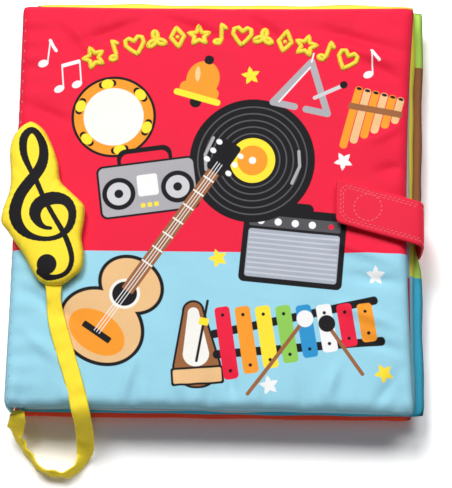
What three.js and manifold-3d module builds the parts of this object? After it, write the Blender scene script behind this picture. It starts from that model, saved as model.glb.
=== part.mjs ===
// A closed soft cloth book: two padded covers on a narrow spine, three padded leaves sewn in
// between, a closing strap, a stuffed clef charm on a ribbon, and a small battery sound box
// in a pocket of the back cover. Millimetres, +Z up, the book lying on its back cover.

import * as THREE from "three";
import { mergeVertices } from "three/addons/utils/BufferGeometryUtils.js";
import Module from "manifold-3d";

const wasm = await Module();
wasm.setup();

// Driving dimensions of the book
const COVER_WIDTH = 206;
const COVER_HEIGHT = 215;
const FRONT_THICKNESS = 6.5;
const BACK_THICKNESS = 12;
const SPINE_THICKNESS = 3;
const LEAF_THICKNESS = 4.4;
const LEAF_COUNT = 3;
const LEAF_GAP = 0.5;
const LAYER_GAP = 0.4;
const CLEARANCE = 0.3;
const COVER_CORNER = 5;
const SPINE_CORNER = 2.5;
const FORE_EDGE_DRAW = 4.5;
const BACK_FOOT = 0.3;
const LEAF_FORE_DRAW = 1.1;
// How far each leaf reaches past the front cover, from the upper leaf down, and where it starts
const LEAF_FORE_REACH = [-1.1, 1, 4.8];
const LEAF_TOP_REACH = [0.6, 5.4, 3.8];
const LEAF_FOOT = [1.4, 1.6, 1.1];
const GUTTER_DEPTH = 9;
const HINGE_SLOPE = 0.8;
const SEAM_HALF = 0.4;
const GATHER_REACH = 8;
const GATHER_DEPTH = 1.2;

// Closing strap
const STRAP_WIDTH = 23;
const STRAP_THICKNESS = 2;
const STRAP_FREE_END = 166.4;
const STRAP_LOW_SIDE = 84.8;
const STRAP_SLANT = 0.272;
const STRAP_END_RADIUS = 3.5;
const STRAP_BEND = 3.4;
const DISC_RADIUS = 7.6;
const DISC_THICKNESS = 1;
const DISC_PLACE = [182.6, 104.3];

// Clef charm and its ribbon
const CHARM_THICKNESS = 8;
const RIBBON_WIDTH = 9;
const RIBBON_THICKNESS = 1.6;

// Sound box, its pocket and what it holds
const BOX_CENTRE = [118, 92];
const BOX_WIDTH = 64;
const BOX_DEPTH = 56;
const BOX_CORNER = 6;
const BOX_WALL = 1.6;
const BOX_FLOOR = 1.2;
const BASE_HEIGHT = 6.4;
const LID_THICKNESS = 1.5;
const LID_LIP = 1.2;
const POCKET_WALL = 1.5;
const THROAT_LENGTH = 16;
const THROAT_WIDTH = 50;
const SLIT_WIDTH = 3;
const TAPE_THICKNESS = 0.9;
const BUTTON_RADIUS = 8;
const BUTTON_TRAVEL = 1.2;
const CELL_RADIUS = 5.8;
const CELL_HEIGHT = 3;
const CELL_COUNT = 3;
const CONTACT_THICKNESS = 0.3;
const SPEAKER_RADIUS = 13.5;
const SPEAKER_HEIGHT = 3.6;
const MAGNET_RADIUS = 6;
const MAGNET_HEIGHT = 1.6;
const BOARD_THICKNESS = 0.9;
const SCREW_RADIUS = 1;
const SCREW_HEAD_RADIUS = 1.9;
const SCREW_HEAD_HEIGHT = 1.5;
const BOSS_RADIUS = 3.1;
const BOSS_INSET = 0.9;
const BAY_INSET = 3;
const BAY_RIM = 1;
const DOOR_EAR_LENGTH = 3.6;
const DOOR_EAR_HALF = 4;
const GRILLE_HOLE = 1;

// Levels worked out from the thicknesses
const backMiddle = BACK_THICKNESS / 2;
const leavesBottom = BACK_THICKNESS + LAYER_GAP;
const leavesTop = leavesBottom + LEAF_COUNT * LEAF_THICKNESS + (LEAF_COUNT - 1) * LEAF_GAP;
const frontBottom = leavesTop + LAYER_GAP;
const coverTop = frontBottom + FRONT_THICKNESS;
const frontMiddle = frontBottom + FRONT_THICKNESS / 2;
const seamX = SPINE_THICKNESS / 2;
const leafFore = COVER_WIDTH + Math.max(...LEAF_FORE_REACH);
const strapInner = leafFore - LEAF_FORE_DRAW + 2 * CLEARANCE;
const strapOuter = strapInner + STRAP_THICKNESS;

// The origin lies under the middle of the whole closed book
const middleX = strapOuter / 2;
const middleY = (COVER_HEIGHT + Math.max(...LEAF_TOP_REACH)) / 2;

const book = new THREE.Group();
book.name = "sound_book";
const inside = new THREE.Group();
inside.position.set(-middleX, -middleY, 0);
book.add(inside);

function material(color, roughness, metalness = 0) {
  return new THREE.MeshStandardMaterial({ color, roughness, metalness });
}

function addPiece(name, geometry, finish) {
  const mesh = new THREE.Mesh(geometry, finish);
  mesh.name = name;
  inside.add(mesh);
}

// Closed solids and back
function solidOf(geometry) {
  const bare = geometry.clone();
  bare.deleteAttribute("normal");
  bare.deleteAttribute("uv");
  const merged = mergeVertices(bare, 1e-4);
  const vertProperties = new Float32Array(merged.attributes.position.array);
  const triVerts = new Uint32Array(merged.index.array);
  return new wasm.Manifold(new wasm.Mesh({ numProp: 3, vertProperties, triVerts }));
}

function geometryOf(solid) {
  const mesh = solid.getMesh();
  const geometry = new THREE.BufferGeometry();
  geometry.setAttribute("position", new THREE.BufferAttribute(mesh.vertProperties, 3));
  geometry.setIndex(new THREE.BufferAttribute(mesh.triVerts, 1));
  geometry.computeVertexNormals();
  return geometry;
}

function block(x0, x1, y0, y1, z0, z1) {
  const geometry = new THREE.BoxGeometry(x1 - x0, y1 - y0, z1 - z0);
  geometry.translate((x0 + x1) / 2, (y0 + y1) / 2, (z0 + z1) / 2);
  return solidOf(geometry);
}

function disc(radius, z0, z1, x, y, sides = 20) {
  const geometry = new THREE.CylinderGeometry(radius, radius, z1 - z0, sides);
  geometry.rotateX(Math.PI / 2);
  geometry.translate(x, y, (z0 + z1) / 2);
  return solidOf(geometry);
}

function roundedShape(x0, x1, y0, y1, radius) {
  const shape = new THREE.Shape();
  shape.moveTo(x0 + radius, y0);
  shape.lineTo(x1 - radius, y0);
  shape.absarc(x1 - radius, y0 + radius, radius, -Math.PI / 2, 0);
  shape.lineTo(x1, y1 - radius);
  shape.absarc(x1 - radius, y1 - radius, radius, 0, Math.PI / 2);
  shape.lineTo(x0 + radius, y1);
  shape.absarc(x0 + radius, y1 - radius, radius, Math.PI / 2, Math.PI);
  shape.lineTo(x0, y0 + radius);
  shape.absarc(x0 + radius, y0 + radius, radius, Math.PI, Math.PI * 1.5);
  return shape;
}

function plate(x0, x1, y0, y1, radius, z0, z1) {
  const shape = roundedShape(x0, x1, y0, y1, radius);
  const geometry = new THREE.ExtrudeGeometry(shape, {
    depth: z1 - z0,
    bevelEnabled: false,
    curveSegments: 5,
  });
  geometry.translate(0, 0, z0);
  return solidOf(geometry);
}

// A body lofted through rings that all have the same number of points, closed by flat ends
function loftRings(rings) {
  const count = rings[0].length;
  const positions = rings.flat().flat();
  const index = [];
  for (let k = 0; k + 1 < rings.length; k++) {
    for (let i = 0; i < count; i++) {
      const a = k * count + i;
      const b = k * count + ((i + 1) % count);
      index.push(a, b, b + count, a, b + count, a + count);
    }
  }
  const flatEnd = (ring) => ring.map(([x, y]) => new THREE.Vector2(x, y));
  for (const [a, b, c] of THREE.ShapeUtils.triangulateShape(flatEnd(rings[0]), [])) {
    index.push(a, c, b);
  }
  const last = (rings.length - 1) * count;
  for (const [a, b, c] of THREE.ShapeUtils.triangulateShape(flatEnd(rings.at(-1)), [])) {
    index.push(last + a, last + b, last + c);
  }
  const geometry = new THREE.BufferGeometry();
  geometry.setAttribute("position", new THREE.Float32BufferAttribute(positions, 3));
  geometry.setIndex(index);
  geometry.computeVertexNormals();
  return geometry;
}

// The outline of a sewn panel, drawn in from its fore, top and bottom edges and its spine edge
function panelLoop(panel, drawIn, spineIn) {
  const x0 = panel.x0 + spineIn;
  const x1 = panel.x1 - drawIn;
  const y0 = panel.y0 + drawIn;
  const y1 = panel.y1 - drawIn;
  const fore = Math.max(COVER_CORNER - drawIn * 0.5, 3);
  const corners = [
    [x0 + SPINE_CORNER, y0 + SPINE_CORNER, SPINE_CORNER, Math.PI],
    [x1 - fore, y0 + fore, fore, Math.PI * 1.5],
    [x1 - fore, y1 - fore, fore, 0],
    [x0 + SPINE_CORNER, y1 - SPINE_CORNER, SPINE_CORNER, Math.PI / 2],
  ];
  const arcs = corners.map(([cx, cy, r, from]) => {
    const arc = [];
    for (let k = 0; k <= 4; k++) {
      const turn = from + (k / 4) * (Math.PI / 2);
      arc.push([cx + r * Math.cos(turn), cy + r * Math.sin(turn)]);
    }
    return arc;
  });
  const loop = [];
  arcs.forEach((arc, side) => {
    loop.push(...arc);
    const [ax, ay] = arc.at(-1);
    const [bx, by] = arcs[(side + 1) % 4][0];
    const length = side % 2 ? panel.y1 - panel.y0 : panel.x1 - panel.x0;
    const pieces = Math.round(length / panel.step);
    for (let k = 1; k < pieces; k++) {
      loop.push([ax + ((bx - ax) * k) / pieces, ay + ((by - ay) * k) / pieces]);
    }
  });
  return loop;
}

// How a filled panel swells from its seam: how far in, and what share of its half thickness
const SWELL = [
  [0, 0],
  [0.5, 0.38],
  [1.8, 0.66],
  [4.6, 0.88],
  [10, 1],
];

// The short gathers that the stitching pulls into a panel's edges, as places along the edge
function gathered(panel, drawIn, x, y) {
  let pull = 0;
  for (const [gx, gy] of panel.gathers ?? []) {
    const far = Math.hypot(x - gx, y - gy);
    pull += Math.exp(-((far / GATHER_REACH) ** 2));
  }
  return GATHER_DEPTH * pull * Math.exp(-drawIn / GATHER_REACH);
}

function paddedPanel(panel) {
  const half = (panel.z1 - panel.z0) / 2;
  const middle = (panel.z0 + panel.z1) / 2;
  const draw = panel.fore ?? 0;
  const ringAt = ([drawIn, share], side) => {
    const rise = SEAM_HALF + (half - SEAM_HALF) * share;
    const spineIn = panel.hinged
      ? CLEARANCE + Math.max(drawIn, rise / HINGE_SLOPE)
      : drawIn;
    return panelLoop(panel, drawIn * (panel.softness ?? 1), spineIn).map(([x, y]) => {
      const across = Math.max(0, (x - panel.x0) / (panel.x1 - panel.x0) - 0.5) * 2;
      const along = (2 * (y - panel.y0)) / (panel.y1 - panel.y0) - 1;
      const bow = draw * across * (1 - along * along);
      const pull = gathered(panel, drawIn, x, y);
      const inward = Math.sign((panel.y0 + panel.y1) / 2 - y) * pull;
      return [x - bow, y + inward, middle + side * rise];
    });
  };
  const rings = [
    ...SWELL.map((level) => ringAt(level, -1)).reverse(),
    ...SWELL.map((level) => ringAt(level, 1)),
  ];
  return loftRings(rings);
}

// Covers, spine and leaves
const bottomGathers = [28, 62, 108, 150, 196].map((x) => [x, 0]);
const topGathers = [46, 120, 182].map((x) => [x, COVER_HEIGHT]);
const frontPanel = {
  x0: seamX, x1: COVER_WIDTH, y0: 0, y1: COVER_HEIGHT, z0: frontBottom, z1: coverTop,
  step: 8, hinged: true, fore: FORE_EDGE_DRAW,
  gathers: [...bottomGathers, ...topGathers],
};
addPiece("front_cover", paddedPanel(frontPanel), material(0xf0324b, 0.8));

const backPanel = {
  x0: seamX, x1: COVER_WIDTH, y0: BACK_FOOT, y1: COVER_HEIGHT,
  z0: 0, z1: BACK_THICKNESS, step: 50, hinged: true,
};

const spineRings = [
  [backMiddle + CLEARANCE + SEAM_HALF, SEAM_HALF],
  [backMiddle + CLEARANCE + SPINE_THICKNESS / 2 / HINGE_SLOPE, SPINE_THICKNESS / 2],
  [frontMiddle - CLEARANCE - SPINE_THICKNESS / 2 / HINGE_SLOPE, SPINE_THICKNESS / 2],
  [frontMiddle - CLEARANCE - SEAM_HALF, SEAM_HALF],
].map(([z, half]) => [
  [seamX - half, 1, z],
  [seamX + half, 1, z],
  [seamX + half, COVER_HEIGHT - 1, z],
  [seamX - half, COVER_HEIGHT - 1, z],
]);
addPiece("spine", loftRings(spineRings), material(0xf0324b, 0.8));

const gutterX = SPINE_THICKNESS + CLEARANCE;
let leaves = block(gutterX, gutterX + GUTTER_DEPTH, 3, COVER_HEIGHT, leavesBottom, leavesTop);
for (let k = 0; k < LEAF_COUNT; k++) {
  const high = leavesTop - k * (LEAF_THICKNESS + LEAF_GAP);
  const leaf = {
    x0: gutterX + GUTTER_DEPTH / 2, x1: COVER_WIDTH + LEAF_FORE_REACH[k],
    y0: LEAF_FOOT[k], y1: COVER_HEIGHT + LEAF_TOP_REACH[k],
    z0: high - LEAF_THICKNESS, z1: high, step: 28, softness: 0.6, fore: LEAF_FORE_DRAW,
  };
  leaves = leaves.add(solidOf(paddedPanel(leaf)));
}
addPiece("pages", geometryOf(leaves), material(0xf6cf3c, 0.8));

// Back cover with the pocket, the throat that opens it and the slit in the inner face
const [boxX, boxY] = BOX_CENTRE;
const boxBottom = POCKET_WALL + CLEARANCE;
const boxTop = boxBottom + BASE_HEIGHT + CLEARANCE + LID_THICKNESS;
const pocketLeft = boxX - BOX_WIDTH / 2 - CLEARANCE;
const pocketTop = boxTop + CLEARANCE;
const pocket = block(
  pocketLeft, boxX + BOX_WIDTH / 2 + CLEARANCE,
  boxY - BOX_DEPTH / 2 - CLEARANCE, boxY + BOX_DEPTH / 2 + CLEARANCE,
  POCKET_WALL, pocketTop,
);
const tapeHeight = 2 * TAPE_THICKNESS + 3 * CLEARANCE;
const throatTop = pocketTop - CLEARANCE;
const throatLeft = pocketLeft - THROAT_LENGTH;
const throat = block(
  throatLeft, pocketLeft + 1, boxY - THROAT_WIDTH / 2, boxY + THROAT_WIDTH / 2,
  throatTop - tapeHeight, throatTop,
);
const slit = block(
  throatLeft, throatLeft + SLIT_WIDTH, boxY - THROAT_WIDTH / 2, boxY + THROAT_WIDTH / 2,
  throatTop - 1, BACK_THICKNESS + 1,
);
const backCover = solidOf(paddedPanel(backPanel)).subtract(pocket).subtract(throat).subtract(slit);
addPiece("back_cover", geometryOf(backCover), material(0xe8432e, 0.8));

const tapeLeft = throatLeft + SLIT_WIDTH + CLEARANCE;
const tapeRight = pocketLeft - CLEARANCE;
const tapeLow = throatTop - tapeHeight + CLEARANCE;
[["pocket_loop_tape", tapeLow], ["pocket_hook_tape", tapeLow + TAPE_THICKNESS + CLEARANCE]].forEach(
  ([name, z]) => {
    const tape = block(
      tapeLeft, tapeRight, boxY - THROAT_WIDTH / 2 + 1, boxY + THROAT_WIDTH / 2 - 1,
      z, z + TAPE_THICKNESS,
    );
    addPiece(name, geometryOf(tape), material(0xf2f2ee, 0.9));
  },
);

// Closing strap: out of the back cover's fore seam, up the fore edge and over the front cover
const discLow = coverTop + CLEARANCE;
const strapLow = discLow + 2 * (DISC_THICKNESS + CLEARANCE);
const strapTop = strapLow + STRAP_THICKNESS;
function strapProfile() {
  const start = COVER_WIDTH + CLEARANCE;
  const low = backMiddle - STRAP_THICKNESS / 2;
  const high = backMiddle + STRAP_THICKNESS / 2;
  const small = STRAP_BEND - STRAP_THICKNESS;
  const shape = new THREE.Shape();
  shape.moveTo(start, low);
  shape.lineTo(strapOuter - STRAP_BEND, low);
  shape.absarc(strapOuter - STRAP_BEND, low + STRAP_BEND, STRAP_BEND, -Math.PI / 2, 0);
  shape.lineTo(strapOuter, strapTop - STRAP_BEND);
  shape.absarc(strapOuter - STRAP_BEND, strapTop - STRAP_BEND, STRAP_BEND, 0, Math.PI / 2);
  shape.lineTo(STRAP_FREE_END, strapTop);
  shape.lineTo(STRAP_FREE_END, strapLow);
  shape.lineTo(strapOuter - STRAP_BEND, strapLow);
  shape.absarc(strapOuter - STRAP_BEND, strapTop - STRAP_BEND, small, Math.PI / 2, 0, true);
  shape.lineTo(strapInner, low + STRAP_BEND);
  shape.absarc(strapOuter - STRAP_BEND, low + STRAP_BEND, small, 0, -Math.PI / 2, true);
  shape.lineTo(start, high);
  return shape;
}
const strapBand = new THREE.ExtrudeGeometry(strapProfile(), {
  depth: STRAP_WIDTH, bevelEnabled: false, curveSegments: 4,
});
strapBand.rotateX(Math.PI / 2);
strapBand.translate(0, STRAP_LOW_SIDE + STRAP_WIDTH, 0);
const strapPlan = plate(
  STRAP_FREE_END, strapOuter + 20, STRAP_LOW_SIDE, STRAP_LOW_SIDE + STRAP_WIDTH,
  STRAP_END_RADIUS, 0, strapTop + 5,
);
const strapFlat = geometryOf(solidOf(strapBand).intersect(strapPlan));
const slantFrom = strapOuter - STRAP_BEND;
const strapPoints = strapFlat.attributes.position;
for (let k = 0; k < strapPoints.count; k++) {
  const reach = Math.max(0, slantFrom - strapPoints.getX(k));
  const over = strapPoints.getZ(k) > frontMiddle ? 1 : 0;
  strapPoints.setY(k, strapPoints.getY(k) + over * reach * STRAP_SLANT);
}
strapFlat.computeVertexNormals();
addPiece("closure_strap", strapFlat, material(0xec3049, 0.8));
const [discX, discY] = DISC_PLACE;
const loopDisc = disc(DISC_RADIUS, discLow, discLow + DISC_THICKNESS, discX, discY, 28);
addPiece("cover_loop_disc", geometryOf(loopDisc), material(0xe23148, 0.95));
const hookLow = discLow + DISC_THICKNESS + CLEARANCE;
const hookDisc = disc(DISC_RADIUS, hookLow, hookLow + DISC_THICKNESS, discX, discY, 28);
addPiece("strap_hook_disc", geometryOf(hookDisc), material(0xd92c44, 0.9));

// Stuffed clef charm: an outline that its stuffing swells, drawn in towards its middle plane
const CHARM_OUTLINE = [
  [9.7, 148.5], [15.6, 144.2], [20.1, 136.1], [23.6, 126.5], [25.3, 117], [30.4, 111.5],
  [37.7, 104.2], [38.4, 97.3], [37.3, 87.4], [38.8, 78.4], [37.9, 70.4], [33.8, 66.2],
  [28.2, 62.2], [19.6, 62.4], [14.5, 66.6], [8.9, 76.4], [3.4, 84.3], [-0.2, 89.4],
  [-4.1, 95], [-3.4, 102], [-0.7, 111.4], [-0.4, 119.8], [-1.5, 132], [-0.3, 139.7],
  [3, 145], [6.1, 147.6],
].reverse();
const charmBottom = coverTop + CLEARANCE;
function charmGeometry() {
  const curve = new THREE.CatmullRomCurve3(
    CHARM_OUTLINE.map(([x, y]) => new THREE.Vector3(x, y, 0)), true, "centripetal",
  );
  const around = 44;
  const half = CHARM_THICKNESS / 2;
  const levels = [[0, 0.1], [0.8, 0.5], [2.6, 0.8], [5.6, 1]];
  const ring = ([drawIn, share], side) => {
    const points = [];
    for (let k = 0; k < around; k++) {
      const p = curve.getPointAt(k / around);
      const t = curve.getTangentAt(k / around);
      points.push([p.x - t.y * drawIn, p.y + t.x * drawIn, charmBottom + half + side * half * share]);
    }
    return points;
  };
  return loftRings([
    ...levels.map((level) => ring(level, -1)).reverse(),
    ...levels.map((level) => ring(level, 1)),
  ]);
}
addPiece("clef_charm", charmGeometry(), material(0xf8d53a, 0.75));

// Ribbon from the charm, over the cover's bottom edge, on its own edge along the surface that the
// book lies on and back up to the foot of the spine. Each point has its sideways direction there.
const ribbonRest = coverTop + CLEARANCE + RIBBON_THICKNESS / 2;
const ribbonFloor = RIBBON_WIDTH / 2 + 0.2;
const RIBBON_ROUTE = [
  [23.9, 60.4, ribbonRest + 1.2, 1, 0.1, 0],
  [24.6, 51, ribbonRest, 1, 0.15, 0],
  [27, 41, ribbonRest, 1, 0.25, 0],
  [30.2, 30.5, ribbonRest, 1, 0.3, 0],
  [34.2, 18.5, ribbonRest, 1, 0.3, 0],
  [37.8, 6.5, ribbonRest, 1, 0.3, 0],
  [39.6, -1, coverTop - 0.2, 1, 0.3, 0],
  [40.6, -6.2, coverTop - 5.6, 1, 0.2, 0],
  [41, -10, coverTop - 13, 1, 0.1, 0],
  [41, -13.6, 12.2, 1, 0, 0],
  [40.8, -18.2, 6.6, 1, -0.2, -0.2],
  [39, -23, 5, 0.8, -0.5, -0.5],
  [35, -27.4, ribbonFloor, 0.3, -0.5, -0.85],
  [28.4, -29.6, ribbonFloor, 0, -0.4, -0.9],
  [21, -28.4, ribbonFloor, -0.2, -0.3, -0.9],
  [14, -23.2, ribbonFloor, -0.3, -0.2, -0.9],
  [8.6, -16.4, ribbonFloor + 0.6, -0.4, -0.1, -0.9],
  [5, -10.6, 8.6, -0.55, -0.1, -0.8],
  [4.2, -7.2, 13.2, -0.7, 0, -0.7],
  [4.5, -5.2, 18.2, -0.75, 0, -0.65],
  [4.9, -2.8, 21.5, -0.75, 0, -0.65],
  [5, 0.3, 22, -0.75, 0, -0.65],
];
// The ribbon's section, in shares of its width and thickness
const RIBBON_SECTION = [
  [0.5, 0], [0.42, 0.5], [0, 0.5], [-0.42, 0.5], [-0.5, 0], [-0.42, -0.5], [0, -0.5], [0.42, -0.5],
];
function ribbonGeometry() {
  const path = new THREE.CatmullRomCurve3(
    RIBBON_ROUTE.map(([x, y, z]) => new THREE.Vector3(x, y, z)), false, "centripetal",
  );
  const sides = RIBBON_ROUTE.map(([, , , x, y, z]) => new THREE.Vector3(x, y, z).normalize());
  const steps = 44;
  const last = RIBBON_ROUTE.length - 1;
  const rings = [];
  for (let k = 0; k <= steps; k++) {
    const t = k / steps;
    const centre = path.getPoint(t);
    const along = path.getTangent(t);
    const low = Math.min(Math.floor(t * last), last - 1);
    const side = sides[low].clone().lerp(sides[low + 1], t * last - low);
    side.addScaledVector(along, -side.dot(along)).normalize();
    const up = new THREE.Vector3().crossVectors(along, side).normalize();
    rings.push(RIBBON_SECTION.map(([across, over]) => {
      const p = centre.clone();
      p.addScaledVector(side, across * RIBBON_WIDTH);
      p.addScaledVector(up, over * RIBBON_THICKNESS);
      return [p.x, p.y, p.z];
    }));
  }
  return rings;
}

// A band closed by a fan at each end
function bandGeometry(rings) {
  const count = rings[0].length;
  const index = [];
  for (let k = 0; k + 1 < rings.length; k++) {
    for (let i = 0; i < count; i++) {
      const a = k * count + i;
      const b = k * count + ((i + 1) % count);
      index.push(a, b, b + count, a, b + count, a + count);
    }
  }
  const last = (rings.length - 1) * count;
  for (let i = 1; i + 1 < count; i++) {
    index.push(0, i + 1, i);
    index.push(last, last + i, last + i + 1);
  }
  const geometry = new THREE.BufferGeometry();
  geometry.setAttribute("position", new THREE.Float32BufferAttribute(rings.flat().flat(), 3));
  geometry.setIndex(index);
  geometry.computeVertexNormals();
  return geometry;
}
addPiece("tether_ribbon", bandGeometry(ribbonGeometry()), material(0xf9d335, 0.6));

// Sound box: a tray and a lid held by four screws, with a cell bay that opens underneath
const box = {
  x0: boxX - BOX_WIDTH / 2, x1: boxX + BOX_WIDTH / 2,
  y0: boxY - BOX_DEPTH / 2, y1: boxY + BOX_DEPTH / 2,
};
const baseTop = boxBottom + BASE_HEIGHT;
const lidLow = baseTop + CLEARANCE;
const bayLength = CELL_COUNT * (2 * CELL_RADIUS + CLEARANCE) + CLEARANCE;
const bayLow = box.y0 + BOX_WALL + BAY_INSET;
const bay = {
  x0: boxX - bayLength / 2, x1: boxX + bayLength / 2,
  y0: bayLow, y1: bayLow + 2 * (CELL_RADIUS + CLEARANCE),
};
const bayTop = boxBottom + BOX_FLOOR + 3 * CLEARANCE + CELL_HEIGHT + CONTACT_THICKNESS;
const screwInset = BOX_WALL + BOSS_RADIUS + BOSS_INSET;
const screwPlaces = [
  [box.x0 + screwInset, box.y0 + screwInset], [box.x1 - screwInset, box.y0 + screwInset],
  [box.x1 - screwInset, box.y1 - screwInset], [box.x0 + screwInset, box.y1 - screwInset],
];
const bossTop = baseTop - LID_LIP - CLEARANCE;
const grow = (area, by) => [area.x0 - by, area.x1 + by, area.y0 - by, area.y1 + by];

let base = plate(...grow(box, 0), BOX_CORNER, boxBottom, baseTop);
const innerCorner = BOX_CORNER - BOX_WALL;
base = base.subtract(plate(...grow(box, -BOX_WALL), innerCorner, boxBottom + BOX_FLOOR, baseTop + 1));
base = base.add(block(...grow(bay, BOX_FLOOR), boxBottom + 0.5, bayTop + 0.8));
for (const [x, y] of screwPlaces) {
  base = base.add(disc(BOSS_RADIUS, boxBottom + 0.5, bossTop, x, y, 16));
}
base = base.subtract(block(...grow(bay, 0), boxBottom + BOX_FLOOR - 0.2, bayTop));
base = base.subtract(block(...grow(bay, BAY_RIM), boxBottom - 1, boxBottom + BOX_FLOOR));
for (const [x, y] of screwPlaces) {
  base = base.subtract(disc(SCREW_RADIUS + CLEARANCE, boxBottom - 1, bossTop + 1, x, y, 12));
  const sinkTop = boxBottom + SCREW_HEAD_HEIGHT + CLEARANCE;
  base = base.subtract(disc(SCREW_HEAD_RADIUS + CLEARANCE, boxBottom - 1, sinkTop, x, y, 14));
}
const doorScrewX = bay.x1 + DOOR_EAR_LENGTH;
const doorScrewY = (bay.y0 + bay.y1) / 2;
base = base.add(disc(BOSS_RADIUS, boxBottom + 0.5, bossTop, doorScrewX, doorScrewY, 16));
base = base.subtract(block(
  bay.x1, doorScrewX + 3, doorScrewY - DOOR_EAR_HALF, doorScrewY + DOOR_EAR_HALF,
  boxBottom - 1, boxBottom + BOX_FLOOR,
));
base = base.subtract(disc(SCREW_RADIUS + CLEARANCE, boxBottom, bossTop - 1, doorScrewX, doorScrewY, 12));
addPiece("sound_box_base", geometryOf(base), material(0xf4f4f2, 0.45));

const speakerX = box.x0 + BOX_WALL + SPEAKER_RADIUS + 3;
const speakerY = box.y1 - BOX_WALL - SPEAKER_RADIUS - 2;
const buttonX = box.x1 - BOX_WALL - BUTTON_RADIUS - 5.5;
const buttonY = speakerY;
let lid = plate(...grow(box, 0), BOX_CORNER, lidLow, lidLow + LID_THICKNESS);
const lipInset = BOX_WALL + CLEARANCE;
const lipOuter = plate(...grow(box, -lipInset), BOX_CORNER - lipInset, lidLow - LID_LIP, lidLow + 0.2);
const lipHollow = plate(
  ...grow(box, -lipInset - 1), BOX_CORNER - lipInset - 1, lidLow - LID_LIP - 1, lidLow + 0.1,
);
lid = lid.add(lipOuter.subtract(lipHollow));
for (const [x, y] of screwPlaces) {
  lid = lid.add(disc(BOSS_RADIUS - 0.6, bossTop + CLEARANCE, lidLow + 0.3, x, y, 16));
  lid = lid.subtract(disc(SCREW_RADIUS + CLEARANCE, bossTop - 1, lidLow + LID_THICKNESS - 0.7, x, y, 12));
}
lid = lid.subtract(disc(BUTTON_RADIUS + CLEARANCE, lidLow - 3, lidLow + 4, buttonX, buttonY, 24));
const grillePlaces = [[0, 0]];
for (const [ring, holes] of [[3.6, 6], [7.2, 12]]) {
  for (let k = 0; k < holes; k++) {
    const turn = (k / holes) * 2 * Math.PI;
    grillePlaces.push([ring * Math.cos(turn), ring * Math.sin(turn)]);
  }
}
for (const [x, y] of grillePlaces) {
  const hole = disc(GRILLE_HOLE, lidLow - 1, lidLow + LID_THICKNESS + 1, speakerX + x, speakerY + y, 8);
  lid = lid.subtract(hole);
}
addPiece("sound_box_lid", geometryOf(lid), material(0xf4f4f2, 0.45));

screwPlaces.forEach(([x, y], k) => {
  const shank = disc(SCREW_RADIUS, boxBottom + 1, lidLow + LID_THICKNESS - 1.1, x, y, 10);
  const head = disc(SCREW_HEAD_RADIUS, boxBottom + 0.1, boxBottom + SCREW_HEAD_HEIGHT, x, y, 12);
  addPiece(`case_screw_${k + 1}`, geometryOf(shank.add(head)), material(0xb8bcc0, 0.35, 1));
});

// Cell bay: door with its ear, the screw, three cells and the two contact plates
const doorTop = boxBottom + BOX_FLOOR - CLEARANCE;
let door = block(...grow(bay, BAY_RIM - CLEARANCE), boxBottom, doorTop);
const earHalf = DOOR_EAR_HALF - CLEARANCE;
door = door.add(block(
  bay.x1, doorScrewX + 3 - CLEARANCE, doorScrewY - earHalf, doorScrewY + earHalf, boxBottom, doorTop,
));
door = door.subtract(disc(SCREW_RADIUS + CLEARANCE, boxBottom - 1, doorTop + 1, doorScrewX, doorScrewY, 12));
addPiece("cell_door", geometryOf(door), material(0xe9e9e6, 0.45));
const doorHead = disc(SCREW_HEAD_RADIUS, POCKET_WALL + 0.05, boxBottom - 0.05, doorScrewX, doorScrewY, 12);
const doorShank = disc(SCREW_RADIUS, boxBottom - 0.1, bossTop - 1.4, doorScrewX, doorScrewY, 10);
addPiece("cell_door_screw", geometryOf(doorHead.add(doorShank)), material(0xb8bcc0, 0.35, 1));
const cellY = (bay.y0 + bay.y1) / 2;
const cellLow = boxBottom + BOX_FLOOR;
for (let k = 0; k < CELL_COUNT; k++) {
  const x = bay.x0 + CLEARANCE + CELL_RADIUS + k * (2 * CELL_RADIUS + CLEARANCE);
  const can = disc(CELL_RADIUS, cellLow, cellLow + CELL_HEIGHT - 0.5, x, cellY, 24);
  const cap = disc(CELL_RADIUS * 0.78, cellLow + CELL_HEIGHT - 0.7, cellLow + CELL_HEIGHT, x, cellY, 20);
  addPiece(`button_cell_${k + 1}`, geometryOf(can.add(cap)), material(0xc9ccd0, 0.3, 1));
}
const contactLow = cellLow + CELL_HEIGHT + CLEARANCE / 2;
const contactHalf = bayLength / 2 - 1.2;
addPiece("contact_plate_positive", geometryOf(block(
  boxX - contactHalf, boxX - 0.8, bay.y0 + 1.5, bay.y1 - 1.5, contactLow, contactLow + CONTACT_THICKNESS,
)), material(0xd6b25a, 0.35, 1));
addPiece("contact_plate_negative", geometryOf(block(
  boxX + 0.8, boxX + contactHalf, bay.y0 + 1.5, bay.y1 - 1.5, contactLow, contactLow + CONTACT_THICKNESS,
)), material(0xd6b25a, 0.35, 1));

// Speaker under the grille: frame with its cone hollow, and the magnet behind it
const speakerTop = baseTop - LID_LIP - 0.4;
const speakerLow = speakerTop - SPEAKER_HEIGHT;
let speaker = disc(SPEAKER_RADIUS, speakerTop - 1, speakerTop, speakerX, speakerY, 28)
  .add(disc(MAGNET_RADIUS + 1.4, speakerLow + MAGNET_HEIGHT, speakerTop - 0.5, speakerX, speakerY, 24));
const cone = new THREE.CylinderGeometry(SPEAKER_RADIUS - 1.5, 3, 1.4, 24);
cone.rotateX(Math.PI / 2);
cone.translate(speakerX, speakerY, speakerTop - 0.5);
speaker = speaker.subtract(solidOf(cone));
addPiece("speaker", geometryOf(speaker), material(0x2b2b2d, 0.6));
const magnetLow = boxBottom + BOX_FLOOR + 0.1;
const magnetTop = speakerLow + MAGNET_HEIGHT - CLEARANCE;
const magnet = disc(MAGNET_RADIUS, magnetLow, magnetTop, speakerX, speakerY, 24);
addPiece("speaker_magnet", geometryOf(magnet), material(0x8d9196, 0.35, 1));

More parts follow.
